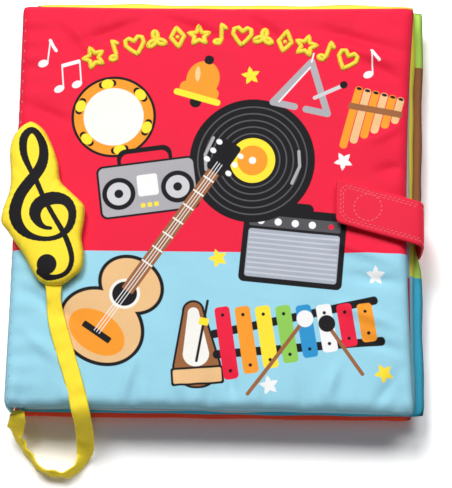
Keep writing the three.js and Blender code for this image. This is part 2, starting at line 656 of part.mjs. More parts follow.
// Push button over its rubber dome, and the circuit board with its sealed chip
const boardLow = boxBottom + BOX_FLOOR + CLEARANCE;
const boardTop = boardLow + BOARD_THICKNESS;
addPiece("circuit_board", geometryOf(block(
  buttonX - BUTTON_RADIUS - 3, buttonX + BUTTON_RADIUS + 3.4,
  buttonY - BUTTON_RADIUS - 6, buttonY + BUTTON_RADIUS - 2.5,
  boardLow, boardTop,
)), material(0x2f7d46, 0.5));
const chipProfile = [[0, 0], [2.6, 0], [2.3, 0.5], [1.4, 0.9], [0, 1]].map(
  ([x, y]) => new THREE.Vector2(x, y),
);
const chipDome = new THREE.LatheGeometry(chipProfile, 16);
chipDome.rotateX(Math.PI / 2);
chipDome.translate(buttonX + BUTTON_RADIUS - 0.6, buttonY - BUTTON_RADIUS + 0.4, boardTop + 0.1);
addPiece("sound_chip", geometryOf(solidOf(chipDome)), material(0x1b1b1d, 0.5));

const buttonTop = lidLow + LID_THICKNESS;
const buttonLow = lidLow - 0.6;
let button = disc(BUTTON_RADIUS, buttonLow, buttonTop, buttonX, buttonY, 24);
const dish = new THREE.CylinderGeometry(BUTTON_RADIUS - 2, BUTTON_RADIUS - 4, 0.8, 24);
dish.rotateX(Math.PI / 2);
dish.translate(buttonX, buttonY, buttonTop);
button = button.subtract(solidOf(dish));
addPiece("push_button", geometryOf(button), material(0xe23a36, 0.35));
const domeHeight = buttonLow - CLEARANCE - boardTop - 0.1;
const domeProfile = [[0, 0], [4.4, 0], [4, 0.23], [2.6, 0.73], [2.2, 1], [0, 1]].map(
  ([x, share]) => new THREE.Vector2(x, share * domeHeight),
);
const dome = new THREE.LatheGeometry(domeProfile, 20);
dome.rotateX(Math.PI / 2);
dome.translate(buttonX, buttonY, boardTop + 0.1);
addPiece("button_dome", geometryOf(solidOf(dome)), material(0xd8d8d4, 0.7));

export default book;
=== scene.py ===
# %% [markdown]
# The frame. A padded cloth book is sewn around parts whose places are already fixed: the covers
# turn on the spine, and the ribbon leaves the spine's foot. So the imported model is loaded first,
# and every soft piece below is fitted to it and rides on one of its bodies.

# %% Load the frame
import math
import random
import bmesh
import bpy
import numpy as np
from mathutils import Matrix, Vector
from mathutils.bvhtree import BVHTree
from mathutils.geometry import delaunay_2d_cdt


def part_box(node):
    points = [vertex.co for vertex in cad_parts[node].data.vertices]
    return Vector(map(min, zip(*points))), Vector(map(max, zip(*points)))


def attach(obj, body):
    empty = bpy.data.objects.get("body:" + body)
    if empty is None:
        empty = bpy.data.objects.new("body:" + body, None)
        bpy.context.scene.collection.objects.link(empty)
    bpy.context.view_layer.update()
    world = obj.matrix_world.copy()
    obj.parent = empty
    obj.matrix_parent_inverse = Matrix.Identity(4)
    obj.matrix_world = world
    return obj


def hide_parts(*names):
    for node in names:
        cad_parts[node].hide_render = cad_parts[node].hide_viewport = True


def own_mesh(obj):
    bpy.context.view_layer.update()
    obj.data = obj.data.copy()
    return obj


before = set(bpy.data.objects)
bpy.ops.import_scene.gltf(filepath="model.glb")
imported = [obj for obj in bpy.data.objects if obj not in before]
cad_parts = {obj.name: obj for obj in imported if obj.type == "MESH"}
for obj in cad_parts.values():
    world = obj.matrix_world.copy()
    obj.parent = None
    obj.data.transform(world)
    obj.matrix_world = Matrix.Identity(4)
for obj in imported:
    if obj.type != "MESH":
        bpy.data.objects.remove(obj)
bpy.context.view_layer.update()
MM = 0.001
BOOK_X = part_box("spine")[0].x
BOOK_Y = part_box("front_cover")[0].y
BOOK_CORNER = np.array([BOOK_X, BOOK_Y, 0])
COVER_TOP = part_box("front_cover")[1].z / MM
COVER_WIDTH = 206
print("frame loaded, cover top at", round(COVER_TOP, 2), "mm")


def at(x, y, z):
    """A point given in millimetres from the spine's outer face and the cover's lower edge."""
    return Vector((BOOK_X + x * MM, BOOK_Y + y * MM, z * MM))


def in_book(places):
    """World places in the same millimetres."""
    return (np.asarray(places) - BOOK_CORNER) / MM


def extent(node):
    """A node's corners in the same millimetres."""
    low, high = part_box(node)
    shift = Vector((BOOK_X, BOOK_Y, 0))
    return (low - shift) / MM, (high - shift) / MM


# %% [markdown]
# The camera. The book was seen from almost straight above, a little from its lower edge, with a
# long lens. The lens and the distance come from the cover's four corners in the picture.

# %% Camera
PICTURE_HEIGHT = 488
FOCAL_PIXELS = 2073.6
VIEW_DISTANCE = 1.0584
VIEW_ELEVATION = math.radians(75)
VIEW_AZIMUTH = math.radians(-10.3)
VIEW_ROLL = math.radians(-9.37)
LOOK_AT = at(110.55, 86.4, 30)
SENSOR = 36

toward_camera = Vector((
    -math.sin(VIEW_AZIMUTH) * math.cos(VIEW_ELEVATION),
    -math.cos(VIEW_AZIMUTH) * math.cos(VIEW_ELEVATION),
    math.sin(VIEW_ELEVATION),
))
camera_data = bpy.data.cameras.new("camera")
camera_data.sensor_fit = "VERTICAL"
camera_data.sensor_height = SENSOR
camera_data.lens = FOCAL_PIXELS * SENSOR / PICTURE_HEIGHT
camera = bpy.data.objects.new("camera", camera_data)
camera.location = LOOK_AT + toward_camera * VIEW_DISTANCE
camera.rotation_euler = (-toward_camera).to_track_quat("-Z", "Y").to_euler()
camera.rotation_euler.rotate_axis("Z", VIEW_ROLL)
bpy.context.scene.collection.objects.link(camera)
bpy.context.scene.camera = camera
print("camera", [round(v, 3) for v in camera.location])

# %% [markdown]
# The light. Two soft lamps stand behind the book's upper corners, the left one stronger, so the
# shadow lies below the book and the bands of the lower edge are dark. A faint card in front of
# the book lifts those bands a little. The floor is a sheet that the camera sees a little paler
# than it is: it is white wherever light reaches it, its shadow stays, and the light that it
# throws back on the book isn't changed.

# %% Floor
FLOOR_SIZE = 6
FLOOR_BELOW = 0.0003
FLOOR_TONE = 0.9
SEEN_TONE = 1.3


def new_material(name):
    made = bpy.data.materials.new(name)
    made.use_nodes = True
    return made, made.node_tree.nodes, made.node_tree.links


floor_mesh = bpy.data.meshes.new("floor")
half = FLOOR_SIZE / 2
floor_mesh.from_pydata(
    [(-half, -half, 0), (half, -half, 0), (half, half, 0), (-half, half, 0)], [], [(0, 1, 2, 3)]
)
floor = bpy.data.objects.new("floor", floor_mesh)
floor.location.z = -FLOOR_BELOW
bpy.context.scene.collection.objects.link(floor)
floor_card, nodes, links = new_material("floor_card")
card = nodes["Principled BSDF"]
card.inputs["Roughness"].default_value = 0.9
card.inputs["Specular IOR Level"].default_value = 0.1
path_kind = nodes.new("ShaderNodeLightPath")
seen = nodes.new("ShaderNodeMath")
seen.operation = "MAXIMUM"
links.new(path_kind.outputs["Is Camera Ray"], seen.inputs[0])
links.new(path_kind.outputs["Is Glossy Ray"], seen.inputs[1])
tone = nodes.new("ShaderNodeMix")
tone.data_type = "RGBA"
tone.inputs[6].default_value = (FLOOR_TONE, FLOOR_TONE, FLOOR_TONE, 1)
tone.inputs[7].default_value = (SEEN_TONE, SEEN_TONE, SEEN_TONE, 1)
links.new(seen.outputs[0], tone.inputs[0])
links.new(tone.outputs[2], card.inputs["Base Color"])
floor_mesh.materials.append(floor_card)
print("floor is", FLOOR_SIZE, "m wide")

# %% World and lamps
SKY_STRENGTH = 0.08
world = bpy.data.worlds.new("studio")
bpy.context.scene.world = world
world.use_nodes = True
nodes, links = world.node_tree.nodes, world.node_tree.links
sky = nodes["Background"]
sky.inputs["Color"].default_value = (1, 1, 1, 1)
sky.inputs["Strength"].default_value = SKY_STRENGTH
bright = nodes.new("ShaderNodeBackground")
bright.inputs["Color"].default_value = (1, 1, 1, 1)
path_kind = nodes.new("ShaderNodeLightPath")
mixed = nodes.new("ShaderNodeMixShader")
links.new(path_kind.outputs["Is Camera Ray"], mixed.inputs[0])
links.new(sky.outputs[0], mixed.inputs[1])
links.new(bright.outputs[0], mixed.inputs[2])
links.new(mixed.outputs[0], nodes["World Output"].inputs["Surface"])


def add_lamp(name, place, size, power):
    data = bpy.data.lights.new(name, "AREA")
    data.shape = "DISK"
    data.size = size
    data.energy = power
    lamp = bpy.data.objects.new(name, data)
    lamp.location = place
    lamp.rotation_euler = (-Vector(place)).to_track_quat("-Z", "Y").to_euler()
    bpy.context.scene.collection.objects.link(lamp)


# Each lamp's place and size in metres, and its power in watts
add_lamp("left_lamp", (-0.4, 0.9, 1.6), 0.85, 30)
add_lamp("right_lamp", (0.5, 0.8, 1.65), 0.8, 13)
add_lamp("front_card", (0, -1.3, 0.5), 0.7, 1.6)
bpy.context.scene.view_settings.view_transform = "Standard"
print("world and", len(bpy.data.lights), "lamps")

# %% [markdown]
# Shader groups. Printed cloth shows a fine weave, slow changes of colour where it is rubbed, and
# soft creases. Each effect is a small node group, built once, and every cloth below is given its
# own values. Lengths in the groups are millimetres, read from a point attribute called rest,
# which holds where each bit of cloth lay when it was printed. The first cell holds the small
# helpers that join the nodes.

# %% Node group helpers
class Group:
    """A shader node group that is filled by short calls."""

    def __init__(self, name, inputs, outputs):
        self.tree = bpy.data.node_groups.new(name, "ShaderNodeTree")
        for title, kind, value in inputs:
            socket = self.tree.interface.new_socket(title, in_out="INPUT", socket_type=kind)
            if value is not None:
                socket.default_value = value
        for title, kind in outputs:
            self.tree.interface.new_socket(title, in_out="OUTPUT", socket_type=kind)
        self.source = self.tree.nodes.new("NodeGroupInput")
        self.sink = self.tree.nodes.new("NodeGroupOutput")

    def math(self, operation, *values):
        return math_node(self.tree, operation, *values)

    def take(self, title):
        return self.source.outputs[title]

    def give(self, title, socket):
        self.tree.links.new(socket, self.sink.inputs[title])


def feed(tree, socket, value):
    if isinstance(value, bpy.types.NodeSocket):
        tree.links.new(value, socket)
    else:
        socket.default_value = value


def math_node(tree, operation, *values):
    node = tree.nodes.new("ShaderNodeMath")
    node.operation = operation
    for socket, value in zip(node.inputs, values):
        feed(tree, socket, value)
    return node.outputs[0]


def vector_node(tree, operation, *values):
    node = tree.nodes.new("ShaderNodeVectorMath")
    node.operation = operation
    for socket, value in zip(node.inputs, values):
        feed(tree, socket, value)
    return node.outputs["Value" if operation in ("LENGTH", "DOT_PRODUCT") else "Vector"]


def scaled_vector(tree, vector, amount):
    node = tree.nodes.new("ShaderNodeVectorMath")
    node.operation = "SCALE"
    feed(tree, node.inputs[0], vector)
    feed(tree, node.inputs["Scale"], amount)
    return node.outputs["Vector"]


def axes_of(tree, vector):
    """The x, y and z of a vector."""
    node = tree.nodes.new("ShaderNodeSeparateXYZ")
    tree.links.new(vector, node.inputs[0])
    return node.outputs[0], node.outputs[1], node.outputs[2]


def mix_colour(tree, amount, first, second):
    node = tree.nodes.new("ShaderNodeMix")
    node.data_type = "RGBA"
    feed(tree, node.inputs[0], amount)
    feed(tree, node.inputs[6], first)
    feed(tree, node.inputs[7], second)
    return node.outputs[2]


def noise(tree, place, scale, detail=2.0):
    node = tree.nodes.new("ShaderNodeTexNoise")
    node.inputs["Scale"].default_value = scale
    node.inputs["Detail"].default_value = detail
    feed(tree, node.inputs["Vector"], place)
    return node.outputs["Fac"]


def add_bump(tree, shader, height, distance, strength=1.0):
    """Tilts the surface by a height, as fine relief would."""
    bump = tree.nodes.new("ShaderNodeBump")
    bump.inputs["Distance"].default_value = distance
    bump.inputs["Strength"].default_value = strength
    tree.links.new(height, bump.inputs["Height"])
    tree.links.new(bump.outputs[0], shader.inputs["Normal"])


# %% Weave, wear and crease groups
CLOTH_ROUGHNESS = 0.62
weave = Group(
    "plain weave",
    [("Place", "NodeSocketVector", None), ("Thread", "NodeSocketFloat", 0.28)],
    [("Height", "NodeSocketFloat")],
)
x, y, _ = axes_of(weave.tree, weave.take("Place"))
pitch = weave.math("DIVIDE", math.pi, weave.take("Thread"))
across = weave.math("SINE", weave.math("MULTIPLY", x, pitch))
along = weave.math("SINE", weave.math("MULTIPLY", y, pitch))
crossing = weave.math("MULTIPLY", across, along)
weave.give("Height", weave.math("ADD", weave.math("MULTIPLY", crossing, 0.5), 0.5))

wear = Group(
    "slow shade",
    [("Place", "NodeSocketVector", None), ("Color", "NodeSocketColor", None),
     ("Amount", "NodeSocketFloat", 0.1)],
    [("Color", "NodeSocketColor"), ("Roughness", "NodeSocketFloat")],
)
slow = noise(wear.tree, wear.take("Place"), 0.03, 3)
fine = noise(wear.tree, wear.take("Place"), 0.9, 2)
both = wear.math("ADD", wear.math("MULTIPLY", slow, 0.7), wear.math("MULTIPLY", fine, 0.3))
swing = wear.math("SUBTRACT", both, 0.5)
shade = wear.math("ADD", 1.0, wear.math("MULTIPLY", swing, wear.take("Amount")))
wear.give("Color", scaled_vector(wear.tree, wear.take("Color"), shade))
wear.give("Roughness", wear.math("ADD", CLOTH_ROUGHNESS, wear.math("MULTIPLY", swing, 0.3)))

crease = Group(
    "soft creases",
    [("Place", "NodeSocketVector", None), ("Scale", "NodeSocketFloat", 0.05)],
    [("Height", "NodeSocketFloat")],
)
stretched = scaled_vector(crease.tree, crease.take("Place"), crease.take("Scale"))
crease.give("Height", noise(crease.tree, stretched, 1.0, 3))
print("groups:", [g.name for g in bpy.data.node_groups])

# %% Cloth material
WEAVE_RELIEF = 0.05
CREASE_RELIEF = 0.55
CREASE_SCALE = 0.05
CLOTH_RELIEF_SHARE = 0.8
CLOTH_SHINE = 0.08


def place_of(tree):
    node = tree.nodes.new("ShaderNodeAttribute")
    node.attribute_name = "rest"
    return node.outputs["Vector"]


def use_group(tree, name, **values):
    node = tree.nodes.new("ShaderNodeGroup")
    node.node_tree = bpy.data.node_groups[name]
    for title, value in values.items():
        feed(tree, node.inputs[title.replace("_", " ")], value)
    return node


def cloth(name, colour, paint=None, shade=0.12, sheen=0.03, thread=0.28, creases=1.0):
    """Printed polyester: colour is plain, or paint(tree, place) gives the print's colour."""
    made, _, links = new_material(name)
    tree = made.node_tree
    shader = tree.nodes["Principled BSDF"]
    place = place_of(tree)
    printed = paint(tree, place) if paint else (*colour, 1)
    worn = use_group(tree, "slow shade", Place=place, Color=printed, Amount=shade)
    links.new(worn.outputs["Color"], shader.inputs["Base Color"])
    links.new(worn.outputs["Roughness"], shader.inputs["Roughness"])
    threads = use_group(tree, "plain weave", Place=place, Thread=thread)
    folds = use_group(tree, "soft creases", Place=place, Scale=CREASE_SCALE)
    height = math_node(tree, "ADD", math_node(tree, "MULTIPLY", threads.outputs[0], WEAVE_RELIEF),
                       math_node(tree, "MULTIPLY", folds.outputs[0], CREASE_RELIEF * creases))
    add_bump(tree, shader, height, MM, CLOTH_RELIEF_SHARE)
    shader.inputs["Sheen Weight"].default_value = sheen
    shader.inputs["Sheen Roughness"].default_value = 0.4
    shader.inputs["Specular IOR Level"].default_value = CLOTH_SHINE
    return made


# %% Cloth and print colours
RED = (0.83, 0.018, 0.056)
BLUE = (0.325, 0.655, 0.8)
YELLOW = (1.0, 0.77, 0.045)
CREAM = (0.9, 0.88, 0.83)
ORANGE = (0.93, 0.33, 0.03)
TAN = (0.83, 0.52, 0.25)
BROWN = (0.33, 0.13, 0.05)
BLACK = (0.012, 0.011, 0.013)
WHITE = (0.9, 0.9, 0.9)
GREY = (0.42, 0.41, 0.44)
GREEN = (0.28, 0.6, 0.1)
SILVER = (0.62, 0.62, 0.65)
print("twelve print colours")

# %% [markdown]
# The ribbon. It is one folded band of yellow cloth: it leaves the foot of the spine, loops on
# the surface below the book, climbs over the lower edge and runs up the cover to the charm.
# It is swept as a flat band along its route, with the band's sideways direction given at each
# point, because a band bends only over its flat.

# %% Ribbon route
RIBBON_WIDTH = 9
RIBBON_THICKNESS = 1.4
RIBBON_CRIMP = 0.55
LOOP_CRIMP = 1.9
LOOP_STARTS = 118
ribbon_rest = COVER_TOP + 1.1
ribbon_floor = 4.7
# Each point's place, and the band's sideways direction there
RIBBON_ROUTE = [
    (23.9, 66, ribbon_rest + 2.6, 1, 0.1, 0),
    (24, 61, ribbon_rest + 1.6, 1, 0.1, 0),
    (24.6, 51, ribbon_rest, 1, 0.15, 0),
    (27, 41, ribbon_rest, 1, 0.25, 0),
    (30.2, 30.5, ribbon_rest, 1, 0.3, 0),
    (34.2, 18.5, ribbon_rest, 1, 0.3, 0),
    (37.8, 6.5, ribbon_rest, 1, 0.3, 0),
    (39.6, -1, COVER_TOP - 0.2, 1, 0.3, 0),
    (40.6, -6.2, COVER_TOP - 5.6, 1, 0.2, 0),
    (40.8, -10, COVER_TOP - 13, 1, 0.1, 0),
    (40.4, -13.6, 12.2, 1, 0, 0),
    (39.8, -18.2, 6.6, 0.9, 0, -0.45),
    (38.4, -22.4, 5.2, 0.45, -0.3, -1),
    (34.6, -26.8, ribbon_floor, 0.05, -0.3, -1),
    (28.8, -29.6, ribbon_floor, 0, -0.16, -1),
    (21, -28.4, ribbon_floor, -0.1, -0.12, -1),
    (14, -23.2, ribbon_floor, -0.16, -0.1, -1),
    (8.6, -16.4, ribbon_floor + 0.6, -0.3, -0.1, -0.9),
    (5, -10.6, 8.6, -0.5, -0.1, -0.85),
    (5, -7.2, 13.2, -0.7, 0, -0.7),
    (5.8, -5.2, 18.2, -0.8, 0, -0.55),
    (6.4, -2.8, 21.5, -0.8, 0, -0.55),
    (6.6, 0.3, 22, -0.8, 0, -0.55),
]


def between(p0, p1, p2, p3, t):
    """A point from p1 to p2 on the smooth curve through all four."""
    return 0.5 * ((2 * p1) + (p2 - p0) * t + (2 * p0 - 5 * p1 + 4 * p2 - p3) * t * t
                  + (3 * p1 - p0 - 3 * p2 + p3) * t ** 3)


def smooth_path(points, steps, closed=False):
    """Points along a curve through the given ones, each a tuple of any length."""
    table = np.array(points, float)
    if closed:
        padded = np.vstack([table[-1], table, table[0], table[1]])
    else:
        padded = np.vstack([2 * table[0] - table[1], table, 2 * table[-1] - table[-2]])
    out = [between(*padded[k:k + 4], s / steps) for k in range(len(padded) - 3) for s in range(steps)]
    return np.array(out if closed else out + [table[-1]])


print("ribbon route has", len(RIBBON_ROUTE), "points")


# %% Objects and their rest places
def make_object(name, points, faces, material=None, smooth=True):
    mesh = bpy.data.meshes.new(name)
    mesh.from_pydata([tuple(p) for p in points], [], faces)
    mesh.validate()
    made = bpy.data.objects.new(name, mesh)
    bpy.context.scene.collection.objects.link(made)
    if material:
        mesh.materials.append(material)
    if smooth:
        mesh.polygons.foreach_set("use_smooth", [True] * len(mesh.polygons))
    return made


def set_rest(made, values):
    """Keeps where each point lies on the flat cloth, in millimetres."""
    attribute = made.data.attributes.new("rest", "FLOAT_VECTOR", "POINT")
    attribute.data.foreach_set("vector", np.asarray(values, np.float32).ravel())


def points_of(made):
    """A piece's points in millimetres from the book's corner."""
    return in_book([tuple(v.co) for v in made.data.vertices])


def rest_from_place(made):
    """Uses the piece's own shape as its flat place."""
    set_rest(made, points_of(made))


# %% Ribbon band
def sweep_band(name, route, section, material, scale_of):
    """A closed band: section is a list of sideways and upward shares at each point of the route."""
    centres = route[:, :3]
    sides = route[:, 3:]
    tangents = np.gradient(centres, axis=0)
    tangents /= np.linalg.norm(tangents, axis=1)[:, None]
    points, rest = [], []
    run = 0
    rng = random.Random(8)
    waves = [(rng.uniform(0.15, 0.75), rng.uniform(0, 6.3), rng.uniform(-1, 1)) for _ in range(6)]
    for k, (centre, tangent, side) in enumerate(zip(centres, tangents, sides)):
        side = side - tangent * (side @ tangent)
        side /= np.linalg.norm(side)
        up = np.cross(tangent, side)
        run += np.linalg.norm(centre - centres[k - 1]) if k else 0
        width, thick = scale_of(k / (len(centres) - 1))
        creased = RIBBON_CRIMP * (LOOP_CRIMP if run > LOOP_STARTS else 1)
        for a, b in section:
            lift = creased * sum(math.sin(f * (run + 9 * a * slant) + s) for f, s, slant in waves) / 3
            lift *= 0.35 + 1.3 * abs(a)
            points.append(at(*(centre + side * a * width + up * (b * thick + lift))))
            rest.append((a * width, run, b * thick))
    count = len(section)
    faces = []
    for k in range(len(centres) - 1):
        for i in range(count):
            a, b = k * count + i, k * count + (i + 1) % count
            faces.append((a, b, b + count, a + count))
    faces.append(tuple(reversed(range(count))))
    faces.append(tuple(range((len(centres) - 1) * count, len(centres) * count)))
    made = make_object(name, points, faces, material)
    set_rest(made, rest)
    return made


ribbon_cloth = cloth("ribbon_cloth", YELLOW, shade=0.16, sheen=0.05, thread=0.35, creases=1.6)
route = smooth_path(RIBBON_ROUTE, 8)
STITCH_GROOVE = 0.72


def band_rim(a):
    """Half the band's thickness at a sideways share: round edges and a groove inside each."""
    round_edge = 0.5 * math.sqrt(max(0, 1 - abs(2 * a) ** 6))
    return round_edge * (STITCH_GROOVE if 0.36 <= abs(a) <= 0.42 else 1)


upper_side = [(a, band_rim(a)) for a in np.linspace(-0.5, 0.5, 17)]
BAND_SECTION = upper_side + [(a, -b) for a, b in reversed(upper_side[1:-1])]


def ribbon_scale(t):
    """The band's width and thickness: it is narrower just below the charm."""
    waist = 1 - 0.16 * math.exp(-((t - 0.07) / 0.03) ** 2)
    ripple = 1 + 0.02 * math.sin(t * 47)
    return RIBBON_WIDTH * waist * ripple, RIBBON_THICKNESS


ribbon = sweep_band("ribbon", route, BAND_SECTION, ribbon_cloth, ribbon_scale)

# %% [markdown]
# Sewn pads. A cover is two cloths sewn together round their edges, turned and filled with
# wadding. The cloth is cut flat, so when the filling lifts it the edge draws in between the
# corners and short gathers form at the seam. A cloth simulation with pressure makes just that.
# The wadding is thin, so the simulated height is then pressed down to the pad's thickness.

# %% Flat pad grid
def pad_grid(x0, x1, y0, y1, radius, pitch):
    """Flat points in rows, and each one's distance from the seam, with round corners."""
    columns = max(4, round((x1 - x0) / pitch))
    rows = max(4, round((y1 - y0) / pitch))
    flat, seam = [], []
    for j in range(rows + 1):
        for i in range(columns + 1):
            x = x0 + (x1 - x0) * i / columns
            y = y0 + (y1 - y0) * j / rows
            seam.append(min(x - x0, x1 - x, y - y0, y1 - y))
            cx = min(max(x, x0 + radius), x1 - radius)
            cy = min(max(y, y0 + radius), y1 - radius)
            a, b = (x - cx) / radius, (y - cy) / radius
            flat.append((cx + a * math.sqrt(1 - b * b / 2) * radius,
                         cy + b * math.sqrt(1 - a * a / 2) * radius))
    return np.array(flat), np.array(seam), columns, rows


def swell(seam, reach):
    """The share of the full height that a filled pad has at a distance from its seam."""
    near = np.clip(1 - seam / reach, 0, 1)
    return np.sqrt(np.clip(1 - near ** 2.4, 0, 1))


print("a filled pad's height 3 mm from its seam is", round(float(swell(3, 9)), 2), "of the full one")


# %% Two cloths that share a seam
LOWER_CLOTH_LEVEL = 5
SEAM_NEAR = 1e-6


def sewn_pad(name, x0, x1, y0, y1, z0, z1, radius, pitch, reach, materials, wobble=None):
    """Two cloths that share their seam. materials are for the upper and the lower cloth."""
    flat, seam, columns, rows = pad_grid(x0, x1, y0, y1, radius, pitch)
    middle, half_height = (z0 + z1) / 2, (z1 - z0) / 2
    height = swell(seam, reach) * half_height
    bottom_of = {}
    points = [(x, y, middle + h) for (x, y), h in zip(flat, height)]
    rest = [(x, y, 0) for x, y in flat]
    for k, (x, y) in enumerate(flat):
        if seam[k] > SEAM_NEAR:
            bottom_of[k] = len(points)
            points.append((x, y, middle - height[k]))
            rest.append((x, y, LOWER_CLOTH_LEVEL))
        else:
            bottom_of[k] = k
    faces = []
    for j in range(rows):
        for i in range(columns):
            a = j * (columns + 1) + i
            corner = (a, a + 1, a + columns + 2, a + columns + 1)
            faces.append(corner)
            faces.append(tuple(bottom_of[c] for c in reversed(corner)))
    points = np.array(points, float)
    if wobble:
        points = wobble(points)
    made = make_object(name, [at(*p) for p in points], faces)
    for material in materials:
        made.data.materials.append(material)
    made.data.polygons.foreach_set("material_index", [k % 2 for k in range(len(faces))])
    set_rest(made, rest)
    on_seam = list(seam < SEAM_NEAR) + [False] * (len(points) - len(seam))
    crease_line = made.data.attributes.new("crease_edge", "FLOAT", "EDGE")
    crease_line.data.foreach_set("value", [float(on_seam[e.vertices[0]] and on_seam[e.vertices[1]])
                                           for e in made.data.edges])
    return made


# %% Pressure, placing and refining
def inflate(made, frames, pressure):
    """Lets the cloth swell under pressure, and gives its new points in millimetres."""
    modifier = made.modifiers.new("swell", "CLOTH")
    settings = modifier.settings
    settings.quality = 6
    settings.mass = 0.2
    settings.tension_stiffness = 18
    settings.compression_stiffness = 18
    settings.shear_stiffness = 6
    settings.bending_stiffness = 0.15
    settings.use_pressure = True
    settings.uniform_pressure_force = pressure
    settings.effector_weights.gravity = 0
    modifier.collision_settings.use_collision = False
    modifier.point_cache.frame_start = 1
    modifier.point_cache.frame_end = frames
    scene = bpy.context.scene
    for step in range(1, frames + 1):
        scene.frame_set(step)
    shaped = made.evaluated_get(bpy.context.evaluated_depsgraph_get())
    co = np.zeros(len(shaped.data.vertices) * 3)
    shaped.data.vertices.foreach_get("co", co)
    made.modifiers.remove(modifier)
    scene.frame_set(1)
    return in_book(co.reshape(-1, 3))


def put_points(made, points):
    co = np.asarray(points) * MM + BOOK_CORNER
    made.data.vertices.foreach_set("co", co.ravel())
    made.data.update()


def refine(made, levels=1):
    modifier = made.modifiers.new("refine", "SUBSURF")
    modifier.levels = levels
    modifier.render_levels = levels
    bpy.context.view_layer.objects.active = made
    made.select_set(True)
    bpy.ops.object.modifier_apply(modifier="refine")
    made.select_set(False)
    made.data.polygons.foreach_set("use_smooth", [True] * len(made.data.polygons))


# %% [markdown]
# The printed cover. A print has hard edges, so each motif is drawn from masks of simple shapes,
# in millimetres on the flat cloth: an ellipse, a bar with round corners, a stroke, a star, a row
# of stripes and a set of rings. The cover is about music, in flat colours on a red field over a
# light blue one, and this design keeps those colours and that scale with motifs of its own.

# %% Soft edge and the place seen from a shape
EDGE_SOFTNESS = 0.35


def soft_mask(group, distance):
    level = group.math("SUBTRACT", 0.5, group.math("DIVIDE", distance, EDGE_SOFTNESS))
    held = group.math("MINIMUM", group.math("MAXIMUM", level, 0.0), 1.0)
    group.give("Mask", held)


def local_place(group):
    """The place seen from the shape's centre, turned with the shape."""
    shift = vector_node(group.tree, "SUBTRACT", group.take("Place"), group.take("Centre"))
    flat = vector_node(group.tree, "MULTIPLY", shift, (1, 1, 0))
    turned = group.tree.nodes.new("ShaderNodeVectorRotate")
    turned.rotation_type = "Z_AXIS"
    group.tree.links.new(flat, turned.inputs["Vector"])
    group.tree.links.new(group.math("MULTIPLY", group.take("Turn"), -1.0), turned.inputs["Angle"])
    return turned.outputs[0]


SHAPE_INPUTS = [("Place", "NodeSocketVector", None), ("Centre", "NodeSocketVector", None),
                ("Half", "NodeSocketVector", (5, 5, 1)), ("Turn", "NodeSocketFloat", 0.0)]
LINE_INPUTS = [("Pitch", "NodeSocketFloat", 4.0), ("Thick", "NodeSocketFloat", 0.3)]
MASK_OUTPUT = [("Mask", "NodeSocketFloat")]

# %% Oval and bar masks
oval = Group("oval mask", SHAPE_INPUTS, MASK_OUTPUT)
ratio = vector_node(oval.tree, "DIVIDE", local_place(oval), oval.take("Half"))
half_x, half_y, _ = axes_of(oval.tree, oval.take("Half"))
beyond = oval.math("SUBTRACT", vector_node(oval.tree, "LENGTH", ratio), 1.0)
soft_mask(oval, oval.math("MULTIPLY", beyond, oval.math("MINIMUM", half_x, half_y)))

bar = Group("bar mask", SHAPE_INPUTS + [("Round", "NodeSocketFloat", 1.0)], MASK_OUTPUT)
spot = vector_node(bar.tree, "ABSOLUTE", local_place(bar))
past_x, past_y, _ = axes_of(bar.tree, vector_node(bar.tree, "SUBTRACT", spot, bar.take("Half")))
past_x = bar.math("ADD", past_x, bar.take("Round"))
past_y = bar.math("ADD", past_y, bar.take("Round"))
square_x = bar.math("POWER", bar.math("MAXIMUM", past_x, 0.0), 2.0)
square_y = bar.math("POWER", bar.math("MAXIMUM", past_y, 0.0), 2.0)
outside = bar.math("SQRT", bar.math("ADD", square_x, square_y))
within = bar.math("MINIMUM", bar.math("MAXIMUM", past_x, past_y), 0.0)
soft_mask(bar, bar.math("SUBTRACT", bar.math("ADD", outside, within), bar.take("Round")))

# %% Stroke mask
stroke = Group("stroke mask", [("Place", "NodeSocketVector", None), ("Start", "NodeSocketVector", None),
                               ("Way", "NodeSocketVector", None), ("Thick", "NodeSocketFloat", 1.0),
                               ("Growth", "NodeSocketFloat", 0.0)], MASK_OUTPUT)
reach = vector_node(stroke.tree, "SUBTRACT", stroke.take("Place"), stroke.take("Start"))
reach = vector_node(stroke.tree, "MULTIPLY", reach, (1, 1, 0))
way = stroke.take("Way")
share = stroke.math("DIVIDE", vector_node(stroke.tree, "DOT_PRODUCT", reach, way),
                    vector_node(stroke.tree, "DOT_PRODUCT", way, way))
share = stroke.math("MINIMUM", stroke.math("MAXIMUM", share, 0.0), 1.0)
foot = scaled_vector(stroke.tree, way, share)
gap = vector_node(stroke.tree, "LENGTH", vector_node(stroke.tree, "SUBTRACT", reach, foot))
half_there = stroke.math("ADD", stroke.take("Thick"), stroke.math("MULTIPLY", share, stroke.take("Growth")))
soft_mask(stroke, stroke.math("SUBTRACT", gap, half_there))

# %% Star, stripe and ring masks
STAR_ANGLE = math.pi / 5
STAR_VALLEY = 0.55


def off_lines(group, distance):
    """How far a distance lies from the nearest of many even lines."""
    half_pitch = group.math("MULTIPLY", group.take("Pitch"), 0.5)
    return group.math("SUBTRACT", group.math("PINGPONG", distance, half_pitch), group.take("Thick"))


star = Group("star mask", SHAPE_INPUTS, MASK_OUTPUT)
spot = local_place(star)
x, y, _ = axes_of(star.tree, spot)
valley = star.math("DIVIDE", star.math("PINGPONG", star.math("ARCTAN2", x, y), STAR_ANGLE), STAR_ANGLE)
inward = star.math("MULTIPLY", star.math("POWER", valley, 0.7), STAR_VALLEY)
half_x, _, _ = axes_of(star.tree, star.take("Half"))
limit = star.math("MULTIPLY", half_x, star.math("SUBTRACT", 1.0, inward))
soft_mask(star, star.math("SUBTRACT", vector_node(star.tree, "LENGTH", spot), limit))

